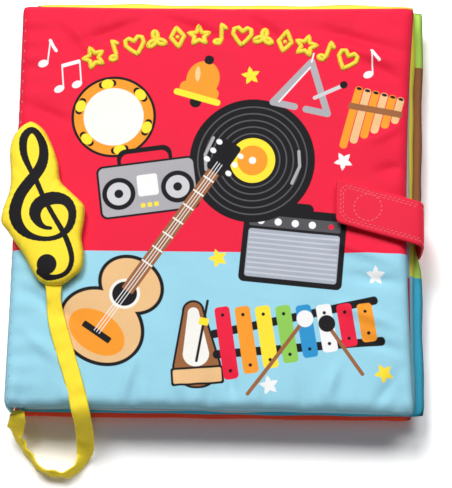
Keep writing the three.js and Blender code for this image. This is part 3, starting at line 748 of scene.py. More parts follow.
stripe = Group("stripe mask", SHAPE_INPUTS + LINE_INPUTS, MASK_OUTPUT)
spot = local_place(stripe)
_, y, _ = axes_of(stripe.tree, spot)
spot = vector_node(stripe.tree, "ABSOLUTE", spot)
past_x, past_y, _ = axes_of(stripe.tree, vector_node(stripe.tree, "SUBTRACT", spot, stripe.take("Half")))
beyond = stripe.math("MAXIMUM", past_x, past_y)
soft_mask(stripe, stripe.math("MAXIMUM", off_lines(stripe, y), beyond))

ring = Group("ring mask", SHAPE_INPUTS + LINE_INPUTS, MASK_OUTPUT)
radius = vector_node(ring.tree, "LENGTH", local_place(ring))
outermost, innermost, _ = axes_of(ring.tree, ring.take("Half"))
beyond = ring.math("MAXIMUM", ring.math("SUBTRACT", radius, outermost),
                   ring.math("SUBTRACT", innermost, radius))
soft_mask(ring, ring.math("MAXIMUM", off_lines(ring, radius), beyond))
print("masks:", [g.name for g in bpy.data.node_groups if "mask" in g.name])


# %% A print that is painted shape by shape
class Print:
    """Paints shapes over a ground colour. x, y and turn place what is drawn."""

    def __init__(self, tree, place, ground):
        self.tree, self.place, self.colour = tree, place, ground
        self.x = self.y = self.turn = 0.0
        self.size = 1.0
        self.count = 0

    def move(self, x, y, degrees=0.0, size=1.0):
        self.x, self.y, self.turn, self.size = x, y, math.radians(degrees), size
        return self

    def spot(self, x, y):
        c, s = math.cos(self.turn), math.sin(self.turn)
        return (self.x + (c * x - s * y) * self.size, self.y + (s * x + c * y) * self.size, 0)

    def cover_with(self, mask, colour):
        self.count += 1
        self.colour = mix_colour(self.tree, mask, self.colour, (*colour, 1))

    def oval(self, x, y, rx, ry, colour, degrees=0.0):
        group = use_group(self.tree, "oval mask", Place=self.place, Centre=self.spot(x, y),
                          Half=(rx * self.size, ry * self.size, 1), Turn=self.turn + math.radians(degrees))
        self.cover_with(group.outputs[0], colour)

    def bar(self, x, y, half_x, half_y, colour, degrees=0.0, round_by=0.6):
        group = use_group(self.tree, "bar mask", Place=self.place, Centre=self.spot(x, y),
                          Half=(half_x * self.size, half_y * self.size, 1),
                          Turn=self.turn + math.radians(degrees),
                          Round=min(round_by * self.size, half_x * self.size, half_y * self.size))
        self.cover_with(group.outputs[0], colour)

    def pattern(self, kind, x, y, half_x, half_y, colour, degrees=0.0, **lines):
        """A star, a row of stripes or a set of rings, each from one mask."""
        group = use_group(self.tree, kind, Place=self.place, Centre=self.spot(x, y),
                          Half=(half_x * self.size, half_y * self.size, 1),
                          Turn=self.turn + math.radians(degrees), **lines)
        self.cover_with(group.outputs[0], colour)

    def stroke(self, points, thick, colour, end_thick=None):
        masks = None
        for (ax, ay), (bx, by) in zip(points, points[1:]):
            start, end = self.spot(ax, ay), self.spot(bx, by)
            group = use_group(self.tree, "stroke mask", Place=self.place, Start=start,
                              Way=tuple(e - s for s, e in zip(start, end)), Thick=thick * self.size,
                              Growth=((end_thick or thick) - thick) * self.size)
            mask = group.outputs[0]
            masks = mask if masks is None else math_node(self.tree, "MAXIMUM", masks, mask)
        self.cover_with(masks, colour)


# %% Guitar, record and sounding bars
def draw_guitar(p):
    p.oval(0, -26, 25, 21, BLACK)
    p.oval(0, 2, 19, 16, BLACK)
    p.oval(0, -26, 23, 19, TAN)
    p.oval(0, 2, 17, 14, TAN)
    p.oval(0, -30, 17, 11, ORANGE)
    p.oval(0, -4, 8.4, 8.4, CREAM)
    p.oval(0, -4, 6.8, 6.8, BLACK)
    p.bar(0, 40, 3.6, 42, BROWN, round_by=1)
    p.bar(0, 90, 5.6, 10, BLACK, round_by=2)
    p.bar(0, -30, 9, 1.8, BLACK, round_by=0.8)
    p.pattern("stripe mask", 0, 46, 3.4, 34, CREAM, Pitch=9.0, Thick=0.4)
    p.pattern("stripe mask", 0, 28, 58, 2.2, WHITE, degrees=90, Pitch=1.5, Thick=0.2)
    for row in range(3):
        p.oval(-7.4, 84 + 6 * row, 1.8, 1.5, WHITE)
        p.oval(7.4, 84 + 6 * row, 1.8, 1.5, WHITE)


def draw_record(p):
    p.oval(0, 0, 33, 33, BLACK)
    p.pattern("ring mask", 0, 0, 31, 14, (0.1, 0.1, 0.11), Pitch=3.6, Thick=0.35)
    p.stroke([(-21, 12), (-25, 3), (-24.4, -5)], 0.8, GREY)
    p.stroke([(21, -12), (25, -3), (24.4, 5)], 0.8, GREY)
    p.oval(0, 0, 12, 12, YELLOW)
    p.oval(0, 0, 8, 8, ORANGE)
    p.oval(0, 0, 1.9, 1.9, WHITE)


def draw_bars(p):
    """A row of sounding bars on two black rails, and two beaters."""
    p.bar(0, 8, 45, 2.2, BLACK, degrees=3.5, round_by=2)
    p.bar(0, -8, 45, 2.2, BLACK, degrees=-3.5, round_by=2)
    tones = [RED, ORANGE, YELLOW, GREEN, (0.03, 0.3, 0.62), WHITE, RED, ORANGE]
    for k, tone in enumerate(tones):
        x = -37 + 10.6 * k
        tall = 19 - 1.3 * k
        p.bar(x, 0, 4, tall, tone, round_by=2)
        p.oval(x, tall - 4.4, 0.9, 0.9, BLACK)
        p.oval(x, 4.4 - tall, 0.9, 0.9, BLACK)
    p.stroke([(-30, -28), (4, 5)], 1, BROWN)
    p.oval(5.5, 6.5, 4.4, 4.4, WHITE)
    p.stroke([(30, -26), (17, 1)], 1, BROWN)
    p.oval(16.4, 2.4, 4.4, 4.4, BLACK)


# %% Tambourine, triangle, notes and stars
def draw_tambourine(p):
    p.oval(0, 0, 22, 22, BLACK)
    p.oval(0, 0, 20.6, 20.6, ORANGE)
    p.oval(0, 0, 15.6, 15.6, CREAM)
    for k in range(6):
        a = math.radians(30 + 60 * k)
        x, y = 18.2 * math.cos(a), 18.2 * math.sin(a)
        p.bar(x, y, 4.6, 1.8, BLACK, degrees=math.degrees(a) + 90, round_by=1.6)
        p.oval(x, y, 3.2, 2.6, YELLOW, degrees=math.degrees(a) + 90)


def draw_triangle(p):
    p.stroke([(-4, -15), (-19, -15), (0, 18), (19, -15), (4, -15)], 2.3, GREY)
    p.stroke([(-15, -13.8), (0, 14)], 0.5, WHITE)
    p.stroke([(0, 18), (0, 24)], 0.5, WHITE)
    p.stroke([(24, 6), (8, -6)], 1.3, SILVER)
    p.oval(25, 7, 2.6, 2.6, BLACK)


def draw_note(p, colour, double=False):
    p.oval(0, 0, 2.7, 1.9, colour, degrees=22)
    p.bar(2.3, 6.6, 0.36, 6.6, colour, round_by=0.3)
    if double:
        p.oval(9.4, 1.6, 2.7, 1.9, colour, degrees=22)
        p.bar(11.7, 8.2, 0.36, 6.6, colour, round_by=0.3)
        p.bar(7, 13.4, 4.9, 1, colour, degrees=10, round_by=0.3)
    else:
        p.stroke([(2.3, 13), (4.4, 9.6), (6, 7.6)], 0.8, colour)


def draw_star(p, colour):
    p.pattern("star mask", 0, 0, 5.2, 5.2, colour)


# %% Radio and amplifier
def draw_radio(p):
    p.bar(0, 17, 15, 6, BLACK, round_by=5)
    p.bar(0, 15.6, 13, 4.6, RED, round_by=4)
    p.bar(0, 0, 27, 15, BLACK, round_by=4)
    p.bar(0, 0, 25.8, 13.8, GREY, round_by=3)
    for side in (-16, 16):
        p.oval(side, -1.5, 9, 9, BLACK)
        p.oval(side, -1.5, 6.4, 6.4, SILVER)
        p.oval(side, -1.5, 2.4, 2.4, BLACK)
    p.bar(0, 1.5, 5.6, 6, WHITE, round_by=1.5)
    for k in range(3):
        p.bar(-3.6 + 3.6 * k, -9.6, 1.2, 1.2, YELLOW, round_by=0.4)


def draw_amplifier(p):
    p.bar(0, 20, 9, 3.4, BLACK, round_by=3)
    p.bar(0, 0, 27, 20, BLACK, round_by=3)
    p.bar(0, -4.5, 24, 12.6, (0.4, 0.43, 0.5), round_by=1.5)
    p.pattern("stripe mask", 0, -4.5, 23.4, 12, (0.56, 0.59, 0.66), Pitch=2.6, Thick=0.45)
    p.bar(0, 12.6, 24, 3, (0.09, 0.09, 0.1), round_by=1)
    for k in range(4):
        p.oval(-18 + 9 * k, 12.6, 1.9, 1.9, WHITE)
    p.oval(19, 12.6, 1.4, 1.4, RED)


# %% Bell, pipes and metronome
def draw_bell(p):
    p.oval(0, -10, 3, 3, BLACK)
    p.oval(0, 3, 8.6, 10, ORANGE)
    p.bar(0, -3.6, 10.4, 3.4, ORANGE, round_by=3)
    p.bar(0, -7.2, 12.6, 1.7, YELLOW, round_by=1.6)
    p.oval(-3.4, 5, 1.3, 4, (0.98, 0.6, 0.3), degrees=14)
    p.bar(0, 14, 2.4, 2.4, BLACK, round_by=2)


def draw_pipes(p):
    for k in range(6):
        tall = 15 - 1.7 * k
        p.bar(-10 + 4 * k, 14 - tall, 1.8, tall, TAN if k % 2 else ORANGE, round_by=1.6)
        p.oval(-10 + 4 * k, 13, 1.3, 0.7, BLACK)
    p.bar(0, 5, 12.6, 1.5, BROWN, degrees=4, round_by=0.8)


def draw_metronome(p):
    p.stroke([(0, -16), (0, 13)], 13, BLACK, 6)
    p.stroke([(0, -16), (0, 13)], 11.8, BROWN, 4.8)
    p.stroke([(0, -10), (0, 12)], 7, CREAM, 3)
    p.bar(0, -22, 14, 5, BLACK, round_by=1.5)
    p.bar(0, -22, 12.8, 3.8, TAN, round_by=1)
    p.stroke([(0, -14), (8, 18)], 0.7, BLACK)
    p.bar(5.2, 7, 2.6, 2, YELLOW, degrees=-14, round_by=0.6)


# %% [markdown]
# The layout of the print. One material can't hold all these shapes, so the print is made in two
# parts, an upper and a lower one, and each face of the cover takes the part that it lies in.
# Where the cloth rolls over the lower and the fore seam, shade is painted into the print, so it is darker
# there.

# %% Layout of the cover's print
FIELD_EDGE = 81.3
PRINT_SPLIT = 100
# Painted shade at the seams: its reach in mm, its strength at the lower and the fore seam, and its limit
SEAM_SHADE = 2.2
FOOT_SHADE = 0.16
FORE_SHADE = 0.1
DARKEST_SHADE = 0.5
NOTE_REACH = 16
STAR_REACH = 6
# Each motif's drawing, centre, turn, size and reach
COVER_MOTIFS = [
    (draw_amplifier, 146, 84, -5, 1, 30),
    (draw_record, 124, 130, 0, 1, 34),
    (draw_tambourine, 51, 153, 12, 1, 23),
    (draw_radio, 70, 115, 8, 0.95, 30),
    (draw_bell, 96, 171, -16, 1, 17),
    (draw_triangle, 151, 170, -12, 0.78, 24),
    (draw_pipes, 187, 152, -14, 1.15, 24),
    (draw_metronome, 96, 38, 5, 0.95, 30),
    (draw_guitar, 62, 62, -34, 0.93, 102),
    (draw_bars, 148, 40, 9, 0.98, 48),
]
COVER_NOTES = [(13, 182, -4, False), (22, 168, 6, True), (184, 177, 4, False)]
COVER_STARS = [(122, 176, 10, YELLOW), (172, 130, 30, WHITE), (189, 70, 0, WHITE),
               (107, 78, 20, YELLOW), (134, 13, 12, WHITE), (192, 20, 30, YELLOW)]


def painted_seam_shade(tree, x, y):
    """How much painted shade darkens the print at the lower and the fore seam."""
    near_foot = math_node(tree, "MULTIPLY", math_node(tree, "SUBTRACT", SEAM_SHADE, y), FOOT_SHADE)
    past_fore = math_node(tree, "SUBTRACT", x, COVER_WIDTH - SEAM_SHADE)
    near_fore = math_node(tree, "MULTIPLY", past_fore, FORE_SHADE)
    dark = math_node(tree, "MAXIMUM", math_node(tree, "MAXIMUM", near_foot, near_fore), 0.0)
    return math_node(tree, "MINIMUM", dark, DARKEST_SHADE)


def cover_print(upper_part):
    """The print's upper or lower part: a motif that crosses the border is drawn in both."""
    def inside(y, reach):
        return y + reach > PRINT_SPLIT if upper_part else y - reach < PRINT_SPLIT

    def paint(tree, place):
        across, up, _ = axes_of(tree, place)
        below = math_node(tree, "LESS_THAN", up, FIELD_EDGE)
        p = Print(tree, place, mix_colour(tree, below, (*RED, 1), (*BLUE, 1)))
        for draw, x, y, turn, size, reach in COVER_MOTIFS:
            if inside(y, reach):
                draw(p.move(x, y, turn, size))
        for x, y, turn, double in COVER_NOTES:
            if inside(y, NOTE_REACH):
                draw_note(p.move(x, y, turn), WHITE, double)
        for x, y, turn, tone in COVER_STARS:
            if inside(y, STAR_REACH):
                draw_star(p.move(x, y, turn), tone)
        print("cover print part has", p.count, "shapes")
        # Painted shade: the print is darkened where the cloth rolls over the lower and the fore seam
        light = math_node(tree, "SUBTRACT", 1.0, painted_seam_shade(tree, across, up))
        return scaled_vector(tree, p.colour, light)

    return paint


# %% [markdown]
# The front cover is the simulated pad. Its lower cloth, the lining, is pale and shows as a thin
# line at the fore edge. At the lower seam and at the lower half of the spine side the printed
# cloth is turned under a little.

# %% Front cover, flat
TURNED_UNDER = 8
cover_low, cover_high = extent("front_cover")
front_cloth = cloth("front_cloth", RED, cover_print(True), shade=0.24, creases=1.6)
front_low_cloth = cloth("front_low_cloth", RED, cover_print(False), shade=0.24, creases=1.6)
lining_cloth = cloth("lining_cloth", (0.86, 0.86, 0.87))
FRONT_PITCH = 2.6
FRONT_LEFT, FRONT_RIGHT, FRONT_TOP = 0.6, 206.4, 215
FRONT_CORNER = 2.6
FRONT_DRAW = 3.2
front = sewn_pad("front_cover_pad", FRONT_LEFT, FRONT_RIGHT, 0, FRONT_TOP, cover_low.z, cover_high.z,
                 FRONT_CORNER, FRONT_PITCH, 9, [front_cloth, lining_cloth, front_low_cloth])
for polygon in front.data.polygons:
    corner_ward = at(TURNED_UNDER, TURNED_UNDER, 0)
    turned_under = polygon.center.y < corner_ward.y or polygon.center.x < corner_ward.x
    if polygon.center.y < at(0, PRINT_SPLIT, 0).y and (polygon.material_index == 0 or turned_under):
        polygon.material_index = 2
print("front cover is cut", round(FRONT_RIGHT - FRONT_LEFT, 1), "by", FRONT_TOP, "mm")

# %% Pressing and fitting the swollen cloth
FLAT_SHARE = 0.9
PRESS_GAIN = 1.02
HALF_WIDTH = COVER_WIDTH / 2


def press_pad(points, low, high):
    """Keeps the simulated creases near the seam and presses the middle to the wadding's height."""
    middle = (low + high) / 2
    half_height = (high - low) / 2
    lift = points[:, 2] - middle
    points[:, 2] = middle + half_height * np.tanh(lift / (half_height * FLAT_SHARE)) * PRESS_GAIN
    return points


def bow_in(points, low_y, high_y, draw):
    """Draws the fore edge in between its corners, by draw at the middle."""
    along = np.clip((points[:, 1] - low_y) / (high_y - low_y) * 2 - 1, -1, 1)
    points[:, 0] -= draw * np.clip((points[:, 0] - HALF_WIDTH) / HALF_WIDTH, 0, 1) * (1 - along ** 2)
    return points


def fit_plan(points, x0, x1, y0, y1):
    """Stretches the drawn-in cloth so that its corners reach the cover's."""
    for axis, (low, high) in enumerate([(x0, x1), (y0, y1)]):
        a, b = points[:, axis].min(), points[:, axis].max()
        points[:, axis] = low + (points[:, axis] - a) * (high - low) / (b - a)
    return points


print("front cover's fore edge is drawn in by", FRONT_DRAW, "mm")

# %% [markdown]
# Puckers and folds. The seam's thread pulls the cloth together, so short puckers run along all
# four seams, and the handled cloth keeps a few long soft folds near its corners. The first are
# sums of waves that fade away from the seam, and each of the others is a smooth ridge or a
# hollow along a line.

# %% Puckers and folds
PUCKER_REACH = 5
PUCKER_END = 40
FOLD_DEPTH = 2.3
FOLD_NARROWING = 0.85
# Each fold's two ends, half width and depth
FOLDS = [
    ((30, 193), (66, 207), 2.4, -1.3), ((70, 210), (118, 192), 2.8, -1.2),
    ((116, 211), (146, 190), 2.6, -1.3), ((150, 204), (200, 190), 2.6, -1.3),
    ((160, 197), (204, 181), 3, 1), ((178, 186), (205, 172), 2.4, -1),
    ((160, 90), (200, 76), 2.6, 1.2), ((172, 70), (203, 66), 2.2, -1.1),
    ((166, 56), (204, 42), 2.6, 1.1), ((174, 40), (204, 30), 2.4, -1),
    ((6, 62), (36, 44), 3, -1.2), ((8, 40), (30, 22), 2.8, 1),
    ((60, 2), (67, 30), 2.2, 1.2), ((118, 2), (112, 26), 2.4, -1.2),
    ((160, 3), (170, 26), 2.4, 1.1), ((186, 2), (200, 22), 2.2, -1.1),
    ((4, 160), (32, 148), 2.8, -1), ((184, 140), (204, 150), 2.4, 1.1),
    ((20, 210), (44, 184), 3, 1), ((188, 124), (204, 128), 2.2, -1),
    ((92, 3), (86, 20), 2.2, 1),
]


def puckers(x, y):
    """Short waves along the lower, upper, fore and spine seams."""
    rng = random.Random(5)
    lift = np.zeros(len(x))
    edges = ((y, x, 1.3), (FRONT_TOP - y, x, 0.8), (FRONT_RIGHT - x, y, 0.9), (x - FRONT_LEFT, y, 0.6))
    for away, along, depth in edges:
        waves = [(rng.uniform(0.12, 0.7), rng.uniform(0, 6.3), rng.uniform(0.4, 1)) for _ in range(7)]
        run = sum(w * np.sin(f * along + s) for f, s, w in waves) / 2.4
        fade = (away / PUCKER_REACH) * np.exp(1 - away / PUCKER_REACH) * (away < PUCKER_END)
        lift += depth * run * fade
    return lift


def folds(x, y):
    """Long soft folds, deepest at their middles."""
    lift = np.zeros(len(x))
    for (ax, ay), (bx, by), wide, depth in FOLDS:
        way = np.array([bx - ax, by - ay])
        spots = np.stack([x - ax, y - ay], 1)
        share = np.clip(spots @ way / (way @ way), 0, 1)
        off = np.linalg.norm(spots - share[:, None] * way, axis=1)
        across = np.exp(-(off / (FOLD_NARROWING * wide)) ** 2)
        lift += FOLD_DEPTH * depth * across * np.sin(math.pi * np.clip(share, 0.06, 0.94))
    return lift


print("front cover gets", len(FOLDS), "folds")

# %% Front cover, filled
PLAN_SHARE = 0.2
SWELL_FRAMES = 16
SWELL_PRESSURE = 3.0
FOOT_SKEW = (0.7, 1.3)
FOOT_SKEW_REACH = 60
SEAM_DROP = 2.2
SEAM_DROP_REACH = 2.2
flat_cloth = points_of(front)
shaped = flat_cloth.copy()
swollen = inflate(front, SWELL_FRAMES, SWELL_PRESSURE)
shaped += PLAN_SHARE * (swollen - flat_cloth) * np.array([1, 1, 1 / PLAN_SHARE])
shaped = fit_plan(shaped, FRONT_LEFT, FRONT_RIGHT, 0, FRONT_TOP)
shaped = press_pad(shaped, cover_low.z, cover_high.z)
on_upper_cloth = shaped[:, 2] > (cover_low.z + cover_high.z) / 2
uneven = puckers(flat_cloth[:, 0], flat_cloth[:, 1]) + folds(flat_cloth[:, 0], flat_cloth[:, 1])
shaped[:, 2] += np.where(on_upper_cloth, uneven, 0)
foot_shift = FOOT_SKEW[0] - FOOT_SKEW[1] * shaped[:, 0] / COVER_WIDTH
shaped[:, 1] += foot_shift * np.clip(1 - shaped[:, 1] / FOOT_SKEW_REACH, 0, 1)
shaped[:, 2] -= SEAM_DROP * np.exp(-(shaped[:, 1] / SEAM_DROP_REACH) ** 2)
put_points(front, bow_in(shaped, 0, FRONT_TOP, FRONT_DRAW))
refine(front)
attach(front, "front_cover_board")
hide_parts("front_cover")
print("front cover has", len(front.data.polygons), "faces")

# %% [markdown]
# The spine and the leaves. The spine is a narrow pad in the cover's own print. The leaves are
# thin pads sewn the same way, and only their edges show, each in the colours of its own page.
# They are not simulated: small slow waves along their edges do the same job at this size.

# %% Fields of colour and edge waves
def field_paint(tree, place, fields, ground):
    """Plain colours in bands: each field is its upper limit along the page, and a colour."""
    _, along, _ = axes_of(tree, place)
    colour = (*ground, 1)
    for limit, tone in fields:
        inside = math_node(tree, "LESS_THAN", along, limit)
        colour = mix_colour(tree, inside, colour, (*tone, 1))
    return colour


PAGE_HEIGHT = 216
PAGE_MIDDLE = 107
STRAP_DENT = 3.4
DENT_MIDDLE = 96
DENT_HALF = 14
DENT_FROM = 208.5


def dent_under_strap(points):
    """Presses in the page that reaches furthest where the strap passes its edge."""
    along = np.exp(-((points[:, 1] - DENT_MIDDLE) / DENT_HALF) ** 4)
    points[:, 0] -= STRAP_DENT * along * np.clip((points[:, 0] - DENT_FROM) / 3, 0, 1)
    return points


def edge_waves(seed, size, lift, draw=0.0):
    """Small slow waves for a pad's edges, the same in each run."""
    rng = random.Random(seed)
    waves = [(rng.uniform(0.03, 0.22), rng.uniform(0, 6.3), rng.uniform(0.3, 1)) for _ in range(7)]

    def apply(points):
        for k, (x, y, z) in enumerate(points):
            run = x * 0.83 + y
            sway = sum(w * math.sin(f * run + s) for f, s, w in waves) / 3
            points[k, 0] = x + size * sway * max(0, (x - HALF_WIDTH) / HALF_WIDTH)
            points[k, 1] = y + size * sway * ((y - PAGE_MIDDLE) / PAGE_MIDDLE)
            points[k, 2] = z + lift * sum(w * math.sin(f * (x - y) + s) for f, s, w in waves) / 3
        return bow_in(dent_under_strap(points), 0, PAGE_HEIGHT, draw)

    return apply


def finish_piece(made, body, node):
    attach(made, body)
    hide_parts(node)


# %% A pad that stands on edge
def upright_pad(name, x_mid, thick, y0, y1, z0, z1, material):
    """A narrow pad that stands on edge, thin at its upper and lower seams."""
    rows, ring = 96, 18
    points, faces = [], []
    for j in range(rows + 1):
        y = y0 + (y1 - y0) * j / rows
        tuck = min(1.0, 0.35 + 0.65 * min(y - y0, y1 - y) / 4)
        for i in range(ring):
            a = 2 * math.pi * i / ring
            up = math.sin(a)
            out = math.copysign(abs(math.cos(a)) ** 0.5, math.cos(a))
            pucker = 1 + 0.12 * math.sin(y * 0.9) * abs(up)
            x = x_mid + out * thick / 2 * tuck * pucker
            points.append((x, y, (z0 + z1) / 2 + up * (z1 - z0) / 2))
    for j in range(rows):
        for i in range(ring):
            a, b = j * ring + i, j * ring + (i + 1) % ring
            faces.append((a, a + ring, b + ring, b))
    faces.append(tuple(range(ring)))
    faces.append(tuple(reversed(range(rows * ring, (rows + 1) * ring))))
    made = make_object(name, [at(*p) for p in points], faces, material)
    rest_from_place(made)
    return made


# %% Spine
SPINE_SHIFT = 0.2
SPINE_SINK = 0.6
spine_low, spine_high = extent("spine")
spine_cloth = cloth("spine_cloth", RED,
                    lambda tree, place: field_paint(tree, place, [(FIELD_EDGE, BLUE)], RED))
spine_pad = upright_pad("spine_pad", (spine_low.x + spine_high.x) / 2 + SPINE_SHIFT,
                        spine_high.x - spine_low.x, spine_low.y, spine_high.y, spine_low.z,
                        spine_high.z - SPINE_SINK, spine_cloth)
finish_piece(spine_pad, "page_block", "spine")
print("spine has", len(spine_pad.data.polygons), "faces")

# %% Leaves
leaf_low, leaf_high = extent("pages")
LEAF_THICKNESS = 4.4
LEAF_GAP = 0.5
LEAF_FORE = (205.2, 207.3, 212)
LEAF_TOP = (215.6, 220.4, 218.8)
LEAF_FOOT = (1.4, 1.6, 1.1)
LEAF_DRAW = 1.1
LEAF_START = 6
LEAF_CORNER = 2.5
LEAF_PITCH = 4.5
LEAF_SWELL = 6
VIOLET = (0.25, 0.03, 0.12)
PALE_GREEN = (0.45, 0.72, 0.12)
# Each leaf's bands of colour, from the highest limit down, and its colour above them
leaf_looks = [
    ([(88, (0.3, 0.62, 0.8)), (71, (0.6, 0.03, 0.1)), (22, (0.42, 0.03, 0.12)), (3, VIOLET)],
     (0.74, 0.74, 0.7)),
    ([(73, (0.26, 0.62, 0.78)), (2.4, (0.5, 0.62, 0.66))], (1.0, 0.86, 0.08)),
    ([(187, BROWN), (106, PALE_GREEN), (73, (0.05, 0.42, 0.62))], PALE_GREEN),
]
leaf_pads = []
for k, (fields, ground) in enumerate(leaf_looks):
    high = leaf_high.z - k * (LEAF_THICKNESS + LEAF_GAP)
    paint = cloth(f"leaf_cloth_{k + 1}", ground,
                  lambda tree, place, f=fields, g=ground: field_paint(tree, place, f, g))
    leaf = sewn_pad(f"leaf_{k + 1}", LEAF_START, LEAF_FORE[k], LEAF_FOOT[k], LEAF_TOP[k],
                    high - LEAF_THICKNESS, high, LEAF_CORNER, LEAF_PITCH, LEAF_SWELL,
                    [paint, paint], edge_waves(20 + k, 0.5, 0.12, LEAF_DRAW))
    refine(leaf)
    leaf_pads.append(leaf)
GUTTER_THICKNESS = 8
GUTTER_SPAN = (1.6, 213)
gutter_cloth = cloth("gutter_cloth", (0.04, 0.2, 0.3))
gutter = upright_pad("gutter_band", leaf_low.x + 4.2, GUTTER_THICKNESS, *GUTTER_SPAN,
                     leaf_low.z, leaf_high.z, gutter_cloth)
finish_piece(leaf_pads[0], "page_block", "pages")
for piece in leaf_pads[1:] + [gutter]:
    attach(piece, "page_block")
print(len(leaf_pads), "leaves and their gutter")

# %% [markdown]
# The back cover. It is thicker, because a pocket in it holds the sound box. Its edge shows
# red-orange below the leaves, and only the inner side's middle has the dark lining.

# %% Back cover
back_low, back_high = extent("back_cover")
LINING_FROM = 0.9
back_cloth = cloth("back_cloth", (0.8, 0.065, 0.03))
back_lining = cloth("back_lining", (0.05, 0.3, 0.42))
back = sewn_pad("back_cover_pad", back_low.x, back_high.x, back_low.y, back_high.y, 0, back_high.z,
                3, 3.6, 11, [back_lining, back_cloth], edge_waves(31, 0.5, 0.0))
for polygon in back.data.polygons:
    polygon.material_index = 0 if polygon.center.z > back_high.z * LINING_FROM * MM else 1
refine(back)
finish_piece(back, "back_cover_board", "back_cover")
print("back cover has", len(back.data.polygons), "faces")

# %% [markdown]
# The strap. Two layers of the red cloth are sewn together, turned and topstitched. It comes out
# of the back cover's seam, passes the fore edge and lies slanted over the front cover. Cloth
# bends only over its flat, so it is swept along one bent line, and its round end comes from
# the outline of the band.

# %% Strap's line
strap_low, strap_high = extent("closure_strap")
STRAP_WIDTH = 23
STRAP_THICKNESS = 1.7
STRAP_SLANT = 0.272
STRAP_CORNER = 2
SLANTED_ABOVE = 20
SEAM_ROLL = 1.6
TOPSTITCH_IN = 2.2
ACROSS = 26
strap_cloth = cloth("strap_cloth", (0.82, 0.024, 0.06), shade=0.2, creases=1.4)
strap_top = strap_high.z - STRAP_THICKNESS / 2
STRAP_LINE = [
    (206.4, 6), (208.2, 6.3), (209.4, 7.6), (209.9, 10), (210.1, 13), (210.3, 18), (210.5, 24),
    (210.5, strap_top - 7), (210, strap_top - 3.6), (208.6, strap_top - 1.6), (205.6, strap_top - 0.7),
    (200, strap_top - 0.3), (192, strap_top - 0.5), (182, strap_top - 0.6), (174, strap_top - 0.1),
    (strap_low.x, strap_top + 0.5),
]
strap_line = smooth_path(STRAP_LINE, 8)
strap_length = np.linalg.norm(np.diff(strap_line, axis=0), axis=1).sum()
strap_middle = strap_low.y + STRAP_WIDTH / 2
print("strap is", round(float(strap_length), 1), "mm long")

# %% Strap's two layers
def strap_slant(x):
    """How far the band has moved up the cover where it lies over it."""
    return STRAP_SLANT * max(0, strap_high.x - 3 - x)


def layer_lift(seam):
    """Half the strap's thickness: rolled at the seam, with a groove under the topstitch."""
    puff = 0.42 + 0.58 * math.sqrt(max(0, 1 - max(0, 1 - seam / SEAM_ROLL) ** 2))
    groove = 0.34 * math.exp(-((seam - TOPSTITCH_IN) / 0.6) ** 2)
    return STRAP_THICKNESS / 2 * (puff - groove)


def strap_points():
    tangents = np.gradient(strap_line, axis=0)
    tangents /= np.linalg.norm(tangents, axis=1)[:, None]
    run = 0
    inner, outer, rest = [], [], []
    for k, ((x, z), (tx, tz)) in enumerate(zip(strap_line, tangents)):
        run += float(np.linalg.norm(strap_line[k] - strap_line[k - 1])) if k else 0
        left = strap_length - run
        trim = STRAP_CORNER - math.sqrt(max(0, STRAP_CORNER ** 2 - max(0, STRAP_CORNER - left) ** 2))
        half_width = STRAP_WIDTH / 2 - trim
        slant = strap_slant(x) if z > SLANTED_ABOVE else 0
        for i in range(ACROSS + 1):
            share = 2 * i / ACROSS - 1
            y = strap_middle + share * half_width + slant
            thick = layer_lift(min((1 - abs(share)) * half_width, left))
            outer.append((x + tz * thick, y, z - tx * thick))
            inner.append((x - tz * thick, y, z + tx * thick))
            rest.append((share * half_width, run, 0))
    return outer, inner, rest


print("strap's thickness at a stitch is", round(2 * layer_lift(TOPSTITCH_IN), 2), "mm")

# %% Strap
def face_outward(made):
    """Turns all faces outward."""
    tool = bmesh.new()
    tool.from_mesh(made.data)
    bmesh.ops.recalc_face_normals(tool, faces=tool.faces)
    tool.to_mesh(made.data)
    tool.free()


outer, inner, strap_rest = strap_points()
rows, columns = len(strap_line), ACROSS + 1
faces = []
offset = rows * columns
for j in range(rows - 1):
    for i in range(columns - 1):
        a = j * columns + i
        faces.append((a, a + 1, a + columns + 1, a + columns))
        faces.append(tuple(offset + c for c in (a, a + columns, a + columns + 1, a + 1)))
rim = list(range(columns))
rim += [j * columns + columns - 1 for j in range(1, rows)]
rim += [(rows - 1) * columns + i for i in range(columns - 2, -1, -1)]
rim += [j * columns for j in range(rows - 2, 0, -1)]
for a, b in zip(rim, rim[1:] + rim[:1]):
    faces.append((b, a, offset + a, offset + b))
strap = make_object("strap", [at(*p) for p in outer + inner], faces, strap_cloth)
set_rest(strap, strap_rest + strap_rest)
face_outward(strap)
print("strap has", len(strap.data.polygons), "faces")

# %% [markdown]
# The charm. It is a small stuffed shape in yellow cloth, with the clef printed in black. The
# outline is filled with even triangles, and each point rises by how far it lies from the seam,
# so the form is round at the edge and fuller in the middle whatever the outline does.

# %% Charm's outline
CHARM_OUTLINE = [
    (9.7, 148.5), (15.6, 144.2), (20.1, 136.1), (23.6, 126.5), (25.3, 117), (30.4, 111.5),
    (37.7, 104.2), (38.4, 97.3), (37.3, 87.4), (38.8, 78.4), (37.9, 70.4), (33.8, 66.2),
    (28.2, 62.2), (19.6, 62.4), (14.5, 66.6), (8.9, 76.4), (3.4, 84.3), (-0.2, 89.4),
    (-4.1, 95), (-3.4, 102), (-0.7, 111.4), (-0.4, 119.8), (-1.5, 132), (-0.3, 139.7),
    (3, 145), (6.1, 147.6),
]
charm_low, charm_high = extent("clef_charm")
print("charm is", round(charm_high.z - charm_low.z, 1), "mm thick")


# %% A stuffed shape from an outline
def distance_to_loop(points, loop):
    a, b = loop, np.roll(loop, -1, axis=0)
    way = b - a
    best = np.full(len(points), 1e9)
    for start, step in zip(a, way):
        t = np.clip(((points - start) @ step) / (step @ step), 0, 1)
        best = np.minimum(best, np.linalg.norm(points - (start + t[:, None] * step), axis=1))
    return best


